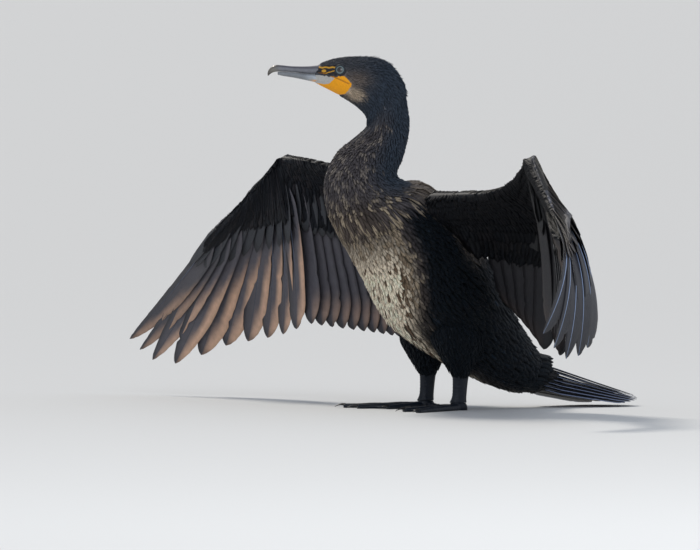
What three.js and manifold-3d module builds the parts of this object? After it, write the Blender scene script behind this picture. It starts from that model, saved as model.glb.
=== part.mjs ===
// A wing-drying great cormorant, life size, as a museum model.
// Millimetres. +X is the bird's forward, +Y its left, +Z up. The floor between the legs is the
// modelling origin, and the whole group is moved at the end so that its box stands on the origin.

import * as THREE from 'three';
import { mergeVertices } from 'three/addons/utils/BufferGeometryUtils.js';
import Module from 'manifold-3d';

const wasm = await Module();
wasm.setup();

const radians = THREE.MathUtils.degToRad;
const vector = (x, y, z) => new THREE.Vector3(x, y, z);

// Driving sizes
const GAP = 0.3;
const BODY_SIDES = 24;
const HEAD_STEPS = 10;
const NECK_STEPS = 7;
const TORSO_STEPS = 16;
const HEAD_TURN = 28;
const EYE_HEIGHT = 355.5;
const EYE_FORWARD = 111.6;
const EYE_ASIDE = -23.3;
const EYE_RADIUS = 6.2;
const EYE_DEPTH = 8.9;
const LID_RADIUS = 5.1;
const LID_THICKNESS = 1.2;
const LID_LIFT = 4;
const LEG_SPACING = 36;
const TARSUS_TOP = 37;
const TARSUS_BOTTOM = 7;
const TAIL_FEATHERS = 14;
const PRIMARIES = 10;
const SECONDARIES = 13;
const TERTIALS = 4;
const PRIMARY_WIDTH = 32;
const VANE_STEP = 1.9;
const COVERT_LIFT = 3.6;
const CORE_REACH = 42;

// Rings of the body, from the bill's base to the rump. Each row has its place in the row, then the
// ring's centre (forward, left, up), how far its back side leans from up towards the tail in degrees,
// half its depth from breast to back, half its width, and how far it is turned to the right.
const BODY = [
  [0, 135, -36, 353, 14, 9.6, 7.6, 28],
  [1, 117, -26, 350, 0, 18.3, 13, 28],
  [2, 96, -15, 344, 2, 26.5, 17.5, 28],
  [3, 78.4, -6, 335.6, 20, 31.6, 20, 28],
  [4, 70.3, -1, 319.8, 44, 29, 21, 26],
  [5, 70, -1, 310, 56, 26.3, 21.5, 24],
  [6, 74, 0, 290, 83, 28.1, 23.5, 19],
  [7, 89.2, 0, 268, 93, 35.9, 28.5, 12],
  [8, 100, 0, 244, 86, 39, 36, 4],
  [9, 91, 0, 224, 70, 46.5, 46, 0],
  [10, 76.7, 0, 212.7, 63, 54.5, 51, 0],
  [11, 41.4, 0, 173.4, 55, 61.8, 62, 0],
  [12, 22, 0, 143, 52, 64, 64, 0],
  [13, 1, 0, 115, 52, 60.6, 62, 0],
  [14, -45, 0, 71, 46, 43.1, 50, 0],
  [15, -90, 0, 41, 31, 30.3, 34, 0],
  [16, -110, 0, 32, 27, 25.4, 26, 0],
];
const HEAD_END = 4;
const NECK_MIDDLE = 6.5;
const NECK_END = 9;
const RUMP_END = 16;

// Rings of the two halves of the bill: forward of the eye, above the eye, lean of the ring,
// half height, half width.
const UPPER_BILL = [
  [0, 16, 1.2, 0, 5.2, 7.6],
  [1, 33, 0.6, 0, 4.0, 5.8],
  [2, 50, 1.5, 0, 3.1, 4.5],
  [3, 61, 2.3, 3, 3.3, 4.1],
  [4, 67.5, 2.4, 18, 3.6, 3.7],
  [5, 72.3, 0.2, 52, 2.9, 2.8],
  [6, 75, -2.9, 74, 1.6, 1.6],
  [7, 75.8, -5.2, 84, 0.5, 0.5],
];
const LOWER_BILL = [
  [0, 16, -8.6, 0, 5.4, 7.4],
  [1, 30, -7.4, 0, 3.9, 5.8],
  [2, 47, -4.6, 0, 3.1, 4.3],
  [3, 60, -3.2, 0, 2.4, 3.3],
  [4, 66, -2.6, 0, 1.6, 2.4],
];

// The line of the mouth on the head: forward of the eye, above the eye, half width of the head there.
const MOUTH = [
  [28, -3.3, 7],
  [17.6, -3.2, 9],
  [5, -7.4, 12],
  [-9.1, -13.9, 16],
];

// Directions and lengths of the flight feathers of each wing: the feather's number, then how far it
// goes forward, out and up for one length, its length, and how far it arches for one length.
const PRIMARY_FAN = {
  left: [
    [1, -0.1, 0.36, -0.93, 168, 0.08],
    [4, 0.05, 0.65, -0.75, 188, 0.1],
    [6, 0.18, 0.71, -0.67, 214, 0.1],
    [8, 0.34, 0.72, -0.6, 232, 0.085],
    [10, 0.5, 0.73, -0.46, 215, 0.07],
  ],
  right: [
    [1, -0.14, 0.05, -0.985, 172, 0.04],
    [3, -0.17, 0.33, -0.93, 182, 0.04],
    [5, -0.11, 0.54, -0.83, 198, 0.04],
    [7, 0.02, 0.64, -0.77, 222, 0.04],
    [8, 0.055, 0.71, -0.7, 228, 0.04],
    [10, 0.07, 0.82, -0.57, 215, 0.04],
  ],
};
const SECONDARY_FAN = [
  [1, -0.15, -0.05, -0.985, 168, 0.05],
  [7, -0.25, -0.18, -0.95, 164, 0.05],
  [13, -0.18, -0.3, -0.93, 158, 0.05],
];
const TERTIAL_FAN = [
  [1, -0.18, -0.33, -0.93, 152, 0.05],
  [4, -0.42, -0.22, -0.86, 118, 0.05],
];

// Joints of the wings, and the line of their front edge: out from the middle, then forward and up.
const WINGS = {
  left: {
    shoulder: [36, 45, 209],
    elbow: [-45, 165, 205],
    wrist: [46, 270, 258],
    handTip: [71, 378, 196],
    lead: 15,
    edge: [[40, 44, 227], [90, 33, 228], [130, 26, 230], [190, 32, 241], [270, 48, 269]],
  },
  right: {
    shoulder: [36, 45, 209],
    elbow: [-45, 165, 205],
    wrist: [50, 270, 250],
    handTip: [75, 378, 182],
    lead: 8,
    edge: [[40, 46, 222], [90, 42, 234], [130, 44, 246], [200, 50, 257], [270, 54, 262]],
  },
};

const headForward = vector(Math.cos(radians(HEAD_TURN)), -Math.sin(radians(HEAD_TURN)), 0);
const headLeft = vector(Math.sin(radians(HEAD_TURN)), Math.cos(radians(HEAD_TURN)), 0);

// Smooth values between the rows of a table whose first column is the place along it.
function keyed(rows, place) {
  const last = rows.length - 1;
  let i = 0;
  while (i < last - 1 && place > rows[i + 1][0]) i += 1;
  const from = rows[i];
  const to = rows[i + 1];
  const before = rows[Math.max(i - 1, 0)];
  const after = rows[Math.min(i + 2, last)];
  const span = to[0] - from[0];
  const t = THREE.MathUtils.clamp((place - from[0]) / span, 0, 1);
  return from.slice(1).map((value, k) => {
    const c = k + 1;
    const slopeFrom = ((to[c] - before[c]) / (to[0] - before[0])) * span;
    const slopeTo = ((after[c] - value) / (after[0] - from[0])) * span;
    const rise = to[c] - value;
    return value + t * slopeFrom + t * t * (3 * rise - 2 * slopeFrom - slopeTo)
      + t * t * t * (slopeFrom + slopeTo - 2 * rise);
  });
}

// A closed geometry from vertices and triangles, with its faces turned outward.
function closedGeometry(points, triangles) {
  let volume = 0;
  for (const [a, b, c] of triangles) {
    volume += points[a].dot(points[b].clone().cross(points[c]));
  }
  const faces = volume < 0 ? triangles.map(([a, b, c]) => [a, c, b]) : triangles;
  const geometry = new THREE.BufferGeometry();
  const values = points.flatMap((point) => [point.x, point.y, point.z]);
  geometry.setAttribute('position', new THREE.Float32BufferAttribute(values, 3));
  geometry.setIndex(faces.flat());
  return geometry;
}

// A skin over rings of equally many points, closed by a fan at each end.
function loft(rings) {
  const sides = rings[0].length;
  const points = rings.flat();
  const triangles = [];
  for (let r = 0; r + 1 < rings.length; r += 1) {
    for (let s = 0; s < sides; s += 1) {
      const a = r * sides + s;
      const b = r * sides + ((s + 1) % sides);
      triangles.push([a, b, b + sides], [a, b + sides, a + sides]);
    }
  }
  for (const [ring, turned] of [[0, true], [rings.length - 1, false]]) {
    const middle = vector(0, 0, 0);
    for (const point of rings[ring]) middle.addScaledVector(point, 1 / sides);
    const centre = points.push(middle) - 1;
    for (let s = 0; s < sides; s += 1) {
      const a = ring * sides + s;
      const b = ring * sides + ((s + 1) % sides);
      triangles.push(turned ? [centre, b, a] : [centre, a, b]);
    }
  }
  return closedGeometry(points, triangles);
}

function toSolid(geometry) {
  const bare = geometry.clone();
  bare.deleteAttribute('normal');
  bare.deleteAttribute('uv');
  const merged = mergeVertices(bare, 1e-4);
  return new wasm.Manifold(new wasm.Mesh({
    numProp: 3,
    vertProperties: new Float32Array(merged.attributes.position.array),
    triVerts: new Uint32Array(merged.index.array),
  }));
}

// The largest closed surface of a solid, so that loose scraps and sealed hollows go.
function largest(solid) {
  const pieces = solid.decompose();
  return pieces.reduce((best, piece) => (piece.volume() > best.volume() ? piece : best));
}

const joined = (solids) => solids.reduce((sum, solid) => sum.add(solid));
const cutBy = (solid, cutters) => cutters.reduce((rest, cutter) => rest.subtract(cutter), solid);

function toGeometry(solid) {
  const mesh = solid.getMesh();
  const geometry = new THREE.BufferGeometry();
  geometry.setAttribute('position', new THREE.BufferAttribute(mesh.vertProperties, 3));
  geometry.setIndex(new THREE.BufferAttribute(mesh.triVerts, 1));
  geometry.computeVertexNormals();
  return geometry;
}

// Body: head, neck and torso are lengths of one lofted form
function bodyFrame(place) {
  const [x, y, z, lean, depth, width, turn] = keyed(BODY, place);
  const forward = vector(Math.cos(radians(turn)), -Math.sin(radians(turn)), 0);
  const left = vector(Math.sin(radians(turn)), Math.cos(radians(turn)), 0);
  const back = forward.clone().multiplyScalar(-Math.sin(radians(lean)));
  back.z = Math.cos(radians(lean));
  return { centre: vector(x, y, z), back, left, depth, width };
}

function bodyRing(place, grow, shift) {
  const { centre, back, left, depth, width } = bodyFrame(place);
  const towardsTail = back.clone().cross(left).normalize();
  const ring = [];
  for (let s = 0; s < BODY_SIDES; s += 1) {
    const angle = (2 * Math.PI * s) / BODY_SIDES;
    ring.push(centre.clone()
      .addScaledVector(back, (depth + grow) * Math.cos(angle))
      .addScaledVector(left, (width + grow) * Math.sin(angle))
      .addScaledVector(towardsTail, shift));
  }
  return ring;
}

function bodyLength(from, to, steps, grow = 0) {
  const rings = [];
  for (let i = 0; i <= steps; i += 1) {
    const end = grow - GAP / 2;
    const shift = i === 0 ? -end : i === steps ? end : 0;
    rings.push(bodyRing(from + ((to - from) * i) / steps, grow, shift));
  }
  return toSolid(loft(rings));
}

function headPoint(forward, up, aside) {
  return vector(EYE_FORWARD, EYE_ASIDE, EYE_HEIGHT)
    .addScaledVector(headForward, forward)
    .addScaledVector(headLeft, aside)
    .add(vector(0, 0, up));
}

// Bill
function billHalf(table, sides) {
  const rings = [];
  const last = table.length - 1;
  for (let place = 0; place <= last; place += 1) {
    const [forward, up, lean, height, width] = keyed(table, place);
    const ring = [];
    for (let s = 0; s < sides; s += 1) {
      const angle = (2 * Math.PI * s) / sides;
      const rise = height * Math.cos(angle);
      ring.push(headPoint(
        forward + rise * Math.sin(radians(lean)),
        up + rise * Math.cos(radians(lean)),
        width * Math.sin(angle),
      ));
    }
    rings.push(ring);
  }
  return toSolid(loft(rings));
}

// The groove of the mouth on one side of the head
function mouthGroove(side) {
  const halfHeight = 0.45;
  const depthIn = 2;
  const reachOut = 6;
  const rings = MOUTH.map(([forward, up, width]) => [
    headPoint(forward, up - halfHeight, side * (width - depthIn)),
    headPoint(forward, up - halfHeight, side * (width + reachOut)),
    headPoint(forward, up + halfHeight, side * (width + reachOut)),
    headPoint(forward, up + halfHeight, side * (width - depthIn)),
  ]);
  return toSolid(loft(rings));
}

function ball(radius, centre) {
  const geometry = new THREE.SphereGeometry(radius, 14, 8);
  geometry.translate(centre.x, centre.y, centre.z);
  return toSolid(geometry);
}

// The lids: a ring that lies on the slope of the head round the eye
function lidRing(side) {
  const outward = headLeft.clone().multiplyScalar(side)
    .addScaledVector(headForward, 0.17)
    .add(vector(0, 0, 0.21))
    .normalize();
  const geometry = new THREE.TorusGeometry(LID_RADIUS, LID_THICKNESS, 4, 12);
  geometry.applyQuaternion(new THREE.Quaternion().setFromUnitVectors(vector(0, 0, 1), outward));
  const { x, y, z } = headPoint(0, 0, side * EYE_DEPTH).addScaledVector(outward, LID_LIFT);
  geometry.translate(x, y, z);
  return toSolid(geometry);
}

// Legs
function tube(stations, sides) {
  return toSolid(loft(stations.map(([x, y, z, halfLength, halfWidth]) => {
    const ring = [];
    for (let s = 0; s < sides; s += 1) {
      const angle = (2 * Math.PI * s) / sides;
      ring.push(vector(x + halfLength * Math.cos(angle), y + halfWidth * Math.sin(angle), z));
    }
    return ring;
  })));
}

function thigh(side) {
  const y = side * LEG_SPACING;
  return tube([
    [1, y, TARSUS_TOP + GAP, 11.5, 9],
    [2, y, TARSUS_TOP + 8, 15, 12.5],
    [2, y, TARSUS_TOP + 20, 22.5, 18],
    [2, side * (LEG_SPACING - 2), TARSUS_TOP + 38, 32, 24],
    [6, side * (LEG_SPACING - 10), TARSUS_TOP + 68, 30, 22],
  ], 16);
}

function tarsus(side) {
  const y = side * LEG_SPACING;
  return tube([
    [1, y, TARSUS_TOP, 9.5, 5.5],
    [1.5, y, TARSUS_TOP - 9, 8.6, 4.8],
    [2.5, y, TARSUS_BOTTOM + 8, 8.2, 4.8],
    [4, y, TARSUS_BOTTOM + 1, 9.6, 6],
  ], 10);
}

// Each toe: angle outward from straight ahead, length to the claw, claw length.
const TOES = [
  { angle: 24, length: 88, claw: 10 },
  { angle: 4, length: 76, claw: 13 },
  { angle: -20, length: 54, claw: 10 },
  { angle: -104, length: 22, claw: 6 },
];
const FOOT_TURN = 8;
const TOE_WIDTH = 9;
const TOE_HEIGHT = 7.2;
const WEB_THICKNESS = 1.8;
const SOLE_CLEAR = 0.8;

function toeDirection(toe, side) {
  const angle = radians(toe.angle + FOOT_TURN);
  return vector(Math.cos(angle), side * Math.sin(angle), 0);
}

// A flat-soled ring of eight points across a toe
function toeRing(centre, across, halfWidth, height, lift) {
  const profile = [
    [-0.8, 0], [0.8, 0], [1, 0.3], [0.85, 0.75], [0.35, 1], [-0.35, 1], [-0.85, 0.75], [-1, 0.3],
  ];
  return profile.map(([w, h]) => centre.clone()
    .addScaledVector(across, w * halfWidth)
    .add(vector(0, 0, lift + h * height)));
}

function toe(shape, side, heel) {
  const direction = toeDirection(shape, side);
  const across = vector(-direction.y, direction.x, 0);
  const at = (distance) => heel.clone().addScaledVector(direction, distance);
  return toSolid(loft([
    toeRing(at(-6), across, TOE_WIDTH / 2, TOE_HEIGHT, 0),
    toeRing(at(shape.length * 0.8), across, TOE_WIDTH * 0.4, TOE_HEIGHT * 0.62, 0),
    toeRing(at(shape.length), across, TOE_WIDTH * 0.3, TOE_HEIGHT * 0.55, 0.6),
    toeRing(at(shape.length + shape.claw), across, 0.4, 0.8, 0.7),
  ]));
}

// The webs: one thin plate whose edge hangs in between the toes' ends
function web(side, heel) {
  const outline = new THREE.Shape();
  outline.moveTo(0, 0);
  TOES.forEach((shape, i) => {
    const end = toeDirection(shape, 1).multiplyScalar(shape.length * 0.93);
    if (i === 0) {
      outline.lineTo(end.x, end.y);
      return;
    }
    const before = toeDirection(TOES[i - 1], 1).multiplyScalar(TOES[i - 1].length * 0.93);
    const sag = before.clone().add(end).multiplyScalar(0.5 * 0.86);
    outline.quadraticCurveTo(sag.x, sag.y, end.x, end.y);
  });
  outline.closePath();
  const plate = { depth: WEB_THICKNESS, bevelEnabled: false, curveSegments: 3 };
  const geometry = new THREE.ExtrudeGeometry(outline, plate);
  const solid = toSolid(geometry);
  const placed = side > 0 ? solid : solid.mirror([0, 1, 0]);
  return placed.translate([heel.x, heel.y, SOLE_CLEAR]);
}

function foot(side) {
  const heel = vector(2, side * LEG_SPACING, 0);
  const instep = tube([
    [2, side * LEG_SPACING, 0, 8.5, 6],
    [3, side * LEG_SPACING, 4, 9.5, 6.5],
    [4, side * LEG_SPACING, TARSUS_BOTTOM + 1 - GAP, 8.8, 5.8],
  ], 10);
  return largest(joined([instep, web(side, heel), ...TOES.map((shape) => toe(shape, side, heel))]));
}

// Feathers. A vane is a thin plate whose two faces are split into triangles alike. Its arch lifts the
// middle of the shaft towards the upper face. Each station of a shape is a part of the length and
// how much of the width the vane fills there.
const HALF_THICKNESS = 0.28;
const PRIMARY_VANE = [[0, 0.36], [0.26, 0.86], [0.82, 0.9], [1, 0.22]];
const LONG_VANE = [[0, 0.5], [0.78, 1], [1, 0.35]];
const SHORT_VANE = [[0, 0.45], [0.62, 1], [1, 0.42]];

function vane({
  root, along, face, length, width, outerShare = 0.45, arch = 0, tilt = 0, shape = SHORT_VANE,
}) {
  const upper = face.clone().addScaledVector(along, -face.dot(along)).normalize();
  const outward = along.clone().cross(upper).normalize();
  const turned = outward.clone().multiplyScalar(Math.cos(tilt)).addScaledVector(upper, Math.sin(tilt));
  const normal = upper.clone().multiplyScalar(Math.cos(tilt)).addScaledVector(outward, -Math.sin(tilt));
  const points = [];
  for (const [part, fill] of shape) {
    const middle = root.clone()
      .addScaledVector(along, length * part)
      .addScaledVector(upper, length * arch * 4 * part * (1 - part));
    for (const way of [1, -1]) {
      for (const share of [outerShare, outerShare - 1]) {
        points.push(middle.clone()
          .addScaledVector(turned, share * width * fill)
          .addScaledVector(normal, way * HALF_THICKNESS));
      }
    }
  }
  const triangles = [[0, 2, 3], [0, 3, 1]];
  const strip = (a, b, c, d) => triangles.push([a, b, c], [a, c, d]);
  for (let top = 0; top + 4 < points.length; top += 4) {
    const under = top + 2;
    strip(top, top + 1, top + 5, top + 4);
    triangles.push([under, under + 5, under + 1], [under, under + 4, under + 5]);
    strip(top, top + 4, under + 4, under);
    strip(top + 1, under + 1, under + 5, top + 5);
  }
  const end = points.length - 4;
  strip(end, end + 1, end + 3, end + 2);
  return toSolid(closedGeometry(points, triangles));
}

// A covert lies over the first part of its flight feather, raised off it
function covert({ root, along, face, length, arch }, { share, lift, width, tilt = 0 }) {
  const upper = face.clone().addScaledVector(along, -face.dot(along)).normalize();
  const start = root.clone().addScaledVector(upper, lift);
  const end = root.clone()
    .addScaledVector(along, length * share)
    .addScaledVector(upper, length * arch * 4 * share * (1 - share) + lift * 1.2);
  const chord = end.clone().sub(start);
  return vane({
    root: start,
    along: chord.clone().normalize(),
    face,
    length: chord.length(),
    width,
    arch: arch * share,
    tilt,
  });
}

// Tail
const TAIL_ROOT = vector(-122, 0, 43);
const TAIL_LENGTH = 108;
const TAIL_STEP = 4.3;

function tailFeathers() {
  const feathers = [];
  const half = TAIL_FEATHERS / 2;
  for (let i = 0; i < TAIL_FEATHERS; i += 1) {
    const place = i - half + 0.5;
    const out = Math.abs(place) / (half - 0.5);
    const side = Math.sign(place);
    const spread = radians(13) * place / (half - 0.5);
    const drop = TAIL_STEP * (Math.abs(place) - 0.5 + (side > 0 ? 0 : 0.5));
    const root = TAIL_ROOT.clone().add(vector(-2 * out, 3 * place, -drop));
    const fall = radians(THREE.MathUtils.lerp(18, 9.3, out));
    const along = vector(-Math.cos(spread) * Math.cos(fall), Math.sin(spread), -Math.sin(fall)).normalize();
    const face = vector(0, 0.35 * out * side, 1);
    feathers.push({ root, along, face, length: TAIL_LENGTH * (1 - 0.3 * out * out), width: 17, arch: 0 });
  }
  return feathers;
}

function tail(keepClear) {
  const core = toSolid(loft([
    [-104, 35, 23, 24], [-118, 30, 20, 27], [-130, 28, 17, 26], [-139, 26, 13, 22], [-145, 24, 8, 16],
  ].map(([x, z, halfHeight, halfWidth]) => {
    const ring = [];
    for (let s = 0; s < 16; s += 1) {
      const angle = (2 * Math.PI * s) / 16;
      ring.push(vector(x, halfWidth * Math.sin(angle), z + halfHeight * Math.cos(angle)));
    }
    return ring;
  })));
  const feathers = tailFeathers();
  const coverts = [[2, 4.5], [5, 4], [8, 4], [11, 4.5]].map(([i, lift]) => (
    covert(feathers[i], { share: 0.42, lift, width: 22 })));
  const underCoverts = [3, 6, 10].map((i) => covert(feathers[i], { share: 0.36, lift: -5, width: 20 }));
  const rectrices = feathers.map((feather) => vane({ ...feather, outerShare: 0.5, shape: LONG_VANE }));
  return largest(cutBy(joined([core, ...rectrices, ...coverts, ...underCoverts]), keepClear));
}

// Wings, both made as a left wing; the right one is mirrored at the end
function wingFeathers(sideName) {
  const wing = WINGS[sideName];
  const shoulder = vector(...wing.shoulder);
  const elbow = vector(...wing.elbow);
  const wrist = vector(...wing.wrist);
  const handTip = vector(...wing.handTip);
  const feathers = [];
  const add = (kind, root, row, width) => {
    const [forward, out, up, length, arch] = row;
    feathers.push({ kind, root, along: vector(forward, out, up).normalize(), length, width, arch });
  };
  for (let i = TERTIALS; i >= 1; i -= 1) {
    const root = elbow.clone().lerp(shoulder, 0.15 * i);
    add('tertial', root, keyed(TERTIAL_FAN, i), 34);
  }
  for (let i = SECONDARIES; i >= 1; i -= 1) {
    const root = wrist.clone().lerp(elbow, (i - 0.5) / SECONDARIES);
    add('secondary', root, keyed(SECONDARY_FAN, i), 33);
  }
  for (let i = 1; i <= PRIMARIES; i += 1) {
    const root = wrist.clone().lerp(handTip, 0.05 + 0.95 * ((i - 1) / (PRIMARIES - 1)) ** 1.1);
    add('primary', root, keyed(PRIMARY_FAN[sideName], i), i > 8 ? PRIMARY_WIDTH - 6 : PRIMARY_WIDTH);
  }
  const middle = ({ root, along, length, arch, face }) => root.clone()
    .addScaledVector(along, length / 2)
    .addScaledVector(face ?? along, face ? length * arch : 0);
  for (let pass = 0; pass < 3; pass += 1) {
    const middles = feathers.map(middle);
    feathers.forEach((feather, i) => {
      const before = Math.max(i - 1, 0);
      const after = Math.min(i + 1, feathers.length - 1);
      const tangent = middles[after].clone().sub(middles[before]);
      feather.face = tangent.cross(feather.along).normalize();
    });
  }
  // Each vane lies a step above the next one out, so it tilts more where the roots are closer
  feathers.forEach((feather, i) => {
    const next = feathers[i + 1] ?? feathers[i - 1];
    feather.tilt = Math.asin(VANE_STEP / next.root.distanceTo(feather.root));
  });
  return feathers;
}

// One section of the wing's arm or hand, from the front edge over the bone to the rear edge
function wingSection(front, bone, rear, distal, thickness) {
  const upper = distal.clone().cross(rear.clone().sub(front)).normalize();
  const control = bone.clone().multiplyScalar(2).addScaledVector(front, -0.5).addScaledVector(rear, -0.5);
  const on = (t) => front.clone().multiplyScalar((1 - t) ** 2)
    .addScaledVector(control, 2 * t * (1 - t))
    .addScaledVector(rear, t * t);
  const profile = [[0.1, 0.7], [0.4, 1], [0.75, 0.7], [1, 0.3]];
  const top = profile.map(([t, h]) => on(t).addScaledVector(upper, h * thickness));
  const under = profile.map(([t, h]) => on(t).addScaledVector(upper, -h * thickness)).reverse();
  return [front.clone(), ...top, ...under];
}

// The flesh of the wing: sections at every second feather, each from the front edge over the bone
// and a short way down its feather
function wingCore(sideName, feathers) {
  const { shoulder, wrist, handTip, edge, lead: leadReach } = WINGS[sideName];
  const axis = vector(...handTip).sub(vector(...wrist)).normalize();
  const down = feathers[TERTIALS + SECONDARIES].along;
  const lead = axis.clone().multiplyScalar(down.dot(axis)).sub(down).normalize();
  const rings = [];
  const addRing = (bone, front, rear, distal, thickness) => {
    rings.push(wingSection(front, bone, rear, distal, thickness));
  };
  const edgeAt = (out) => {
    const [forward, up] = keyed(edge, out);
    return vector(forward, out, up);
  };
  const inner = vector(...shoulder);
  addRing(inner, edgeAt(inner.y), inner.clone().add(vector(-26, 0, -22)), vector(0, 1, 0), 14);
  const between = inner.clone().lerp(feathers[0].root, 0.5);
  addRing(between, edgeAt(between.y), between.clone().add(vector(-16, 0, -28)), vector(0, 1, 0), 12.5);
  feathers.forEach((feather, i) => {
    const { root, along, face, length, arch, kind } = feather;
    const hand = kind === 'primary';
    if (i % 2 === 1 && i < feathers.length - 1) return;
    const along1 = hand ? (i - TERTIALS - SECONDARIES) / (PRIMARIES - 1) : 0;
    const size = THREE.MathUtils.lerp(1, 0.3, along1);
    const reach = CORE_REACH * size;
    const part = reach / length;
    const rear = root.clone()
      .addScaledVector(along, reach)
      .addScaledVector(face, length * arch * 4 * part * (1 - part));
    const front = hand ? root.clone().addScaledVector(lead, leadReach * size) : edgeAt(root.y);
    const thickness = hand ? 7 * size : THREE.MathUtils.lerp(11.5, 8, (root.y - 100) / 170);
    addRing(root, front, rear, hand ? axis : vector(0, 1, 0), thickness);
  });
  return toSolid(loft(rings));
}

// The short stiff feathers of the thumb, along the front of the hand
function alula(sideName, feathers) {
  const wrist = vector(...WINGS[sideName].wrist);
  const axis = vector(...WINGS[sideName].handTip).sub(wrist).normalize();
  const { along, face } = feathers[TERTIALS + SECONDARIES];
  const lead = axis.clone().multiplyScalar(along.dot(axis)).sub(along).normalize();
  return [0, 1].map((i) => vane({
    root: wrist.clone()
      .addScaledVector(axis, 4 - 3 * i)
      .addScaledVector(lead, 5)
      .addScaledVector(face, 2 + 2.2 * i),
    along: axis.clone().addScaledVector(lead, 0.1 - 0.06 * i).normalize(),
    face,
    length: 72 - 16 * i,
    width: 14,
  }));
}

function wing(sideName, keepClear) {
  const feathers = wingFeathers(sideName);
  const vanes = [];
  feathers.forEach((feather, i) => {
    const { tilt } = feather;
    const hand = feather.kind === 'primary';
    const outerShare = feather.width < PRIMARY_WIDTH ? 0.22 : 0.42;
    vanes.push(vane({ ...feather, outerShare, shape: hand ? PRIMARY_VANE : LONG_VANE }));
    if (i % 2 === 1) {
      vanes.push(covert(feather, { share: hand ? 0.42 : 0.5, lift: COVERT_LIFT, width: 30, tilt }));
      vanes.push(covert(feather, { share: 0.4, lift: -COVERT_LIFT - 1, width: 30, tilt }));
    }
  });
  const made = joined([wingCore(sideName, feathers), ...vanes, ...alula(sideName, feathers)]);
  const placed = sideName === 'left' ? made : made.mirror([0, 1, 0]);
  return largest(cutBy(placed, keepClear));
}

// Materials
const finish = (color, roughness) => new THREE.MeshStandardMaterial({ color, roughness, metalness: 0 });
const plumageDark = finish(0x23262b, 0.55);
const plumageBrown = finish(0x4a4038, 0.65);
const plumageNeck = finish(0x2f3136, 0.6);
const flightFeather = finish(0x2a2c31, 0.5);
const billHorn = finish(0x77797a, 0.4);
const eyeGloss = finish(0x1c2a2a, 0.1);
const legSkin = finish(0x191a1c, 0.5);

const group = new THREE.Group();
function addNode(name, solid, material) {
  const mesh = new THREE.Mesh(toGeometry(solid), material);
  mesh.name = name;
  group.add(mesh);
}

// Head with eyes, lids, mouth and bill
const headForm = bodyLength(0, HEAD_END, HEAD_STEPS);
const eyeAt = (side) => headPoint(0, 0, side * EYE_DEPTH);
const eyeSockets = [1, -1].map((side) => ball(EYE_RADIUS + GAP, eyeAt(side)));
const headWithLids = joined([headForm, lidRing(1), lidRing(-1)]);
addNode('head', largest(cutBy(headWithLids, [...eyeSockets, mouthGroove(1), mouthGroove(-1)])), plumageDark);
addNode('eye_left', ball(EYE_RADIUS, eyeAt(1)), eyeGloss);
addNode('eye_right', ball(EYE_RADIUS, eyeAt(-1)), eyeGloss);
const headClear = bodyLength(0, HEAD_END, HEAD_STEPS, GAP);
const upperBill = billHalf(UPPER_BILL, 12);
addNode('bill_upper', largest(cutBy(upperBill, [headClear])), billHorn);
const lowerBill = cutBy(billHalf(LOWER_BILL, 12), [headClear, upperBill, upperBill.translate([0, 0, -GAP])]);
addNode('bill_lower', largest(lowerBill), billHorn);

// Neck and torso
addNode('neck_upper', bodyLength(HEAD_END, NECK_MIDDLE, NECK_STEPS), plumageNeck);
addNode('neck_lower', bodyLength(NECK_MIDDLE, NECK_END, NECK_STEPS), plumageNeck);
addNode('torso', bodyLength(NECK_END, RUMP_END, TORSO_STEPS), plumageBrown);
const torsoClear = bodyLength(NECK_END, RUMP_END, TORSO_STEPS, GAP);
const neckClear = bodyLength(NECK_MIDDLE, NECK_END, NECK_STEPS, GAP);

// Tail, legs and wings
addNode('tail', tail([torsoClear]), flightFeather);
for (const [sideName, side] of [['left', 1], ['right', -1]]) {
  addNode(`thigh_${sideName}`, largest(cutBy(thigh(side), [torsoClear])), plumageDark);
  addNode(`tarsus_${sideName}`, tarsus(side), legSkin);
  addNode(`foot_${sideName}`, foot(side), legSkin);
  addNode(`wing_${sideName}`, wing(sideName, [torsoClear, neckClear]), flightFeather);
}

// The origin is the middle of the box's bottom
const box = new THREE.Box3().setFromObject(group);
group.position.set(-(box.min.x + box.max.x) / 2, -(box.min.y + box.max.y) / 2, -box.min.z);

export default group;
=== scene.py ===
import bmesh
import bpy
import math
import numpy as np
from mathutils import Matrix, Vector
from mathutils.kdtree import KDTree


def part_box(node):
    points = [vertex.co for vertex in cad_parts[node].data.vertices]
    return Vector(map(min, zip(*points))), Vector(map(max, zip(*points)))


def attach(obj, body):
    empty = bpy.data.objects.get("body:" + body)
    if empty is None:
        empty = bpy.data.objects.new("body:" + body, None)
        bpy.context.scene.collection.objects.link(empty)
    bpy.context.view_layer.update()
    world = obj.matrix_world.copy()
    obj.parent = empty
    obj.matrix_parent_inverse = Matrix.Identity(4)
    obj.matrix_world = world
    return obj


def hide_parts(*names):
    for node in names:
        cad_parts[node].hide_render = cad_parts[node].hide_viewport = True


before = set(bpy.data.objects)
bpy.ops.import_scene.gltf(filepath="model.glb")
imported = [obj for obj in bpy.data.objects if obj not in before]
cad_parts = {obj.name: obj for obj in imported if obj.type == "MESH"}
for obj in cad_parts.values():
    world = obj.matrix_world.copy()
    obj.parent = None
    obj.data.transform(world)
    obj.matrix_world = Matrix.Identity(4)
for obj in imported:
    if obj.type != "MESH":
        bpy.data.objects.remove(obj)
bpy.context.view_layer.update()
rng = np.random.default_rng(11)
MM = 0.001

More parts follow.
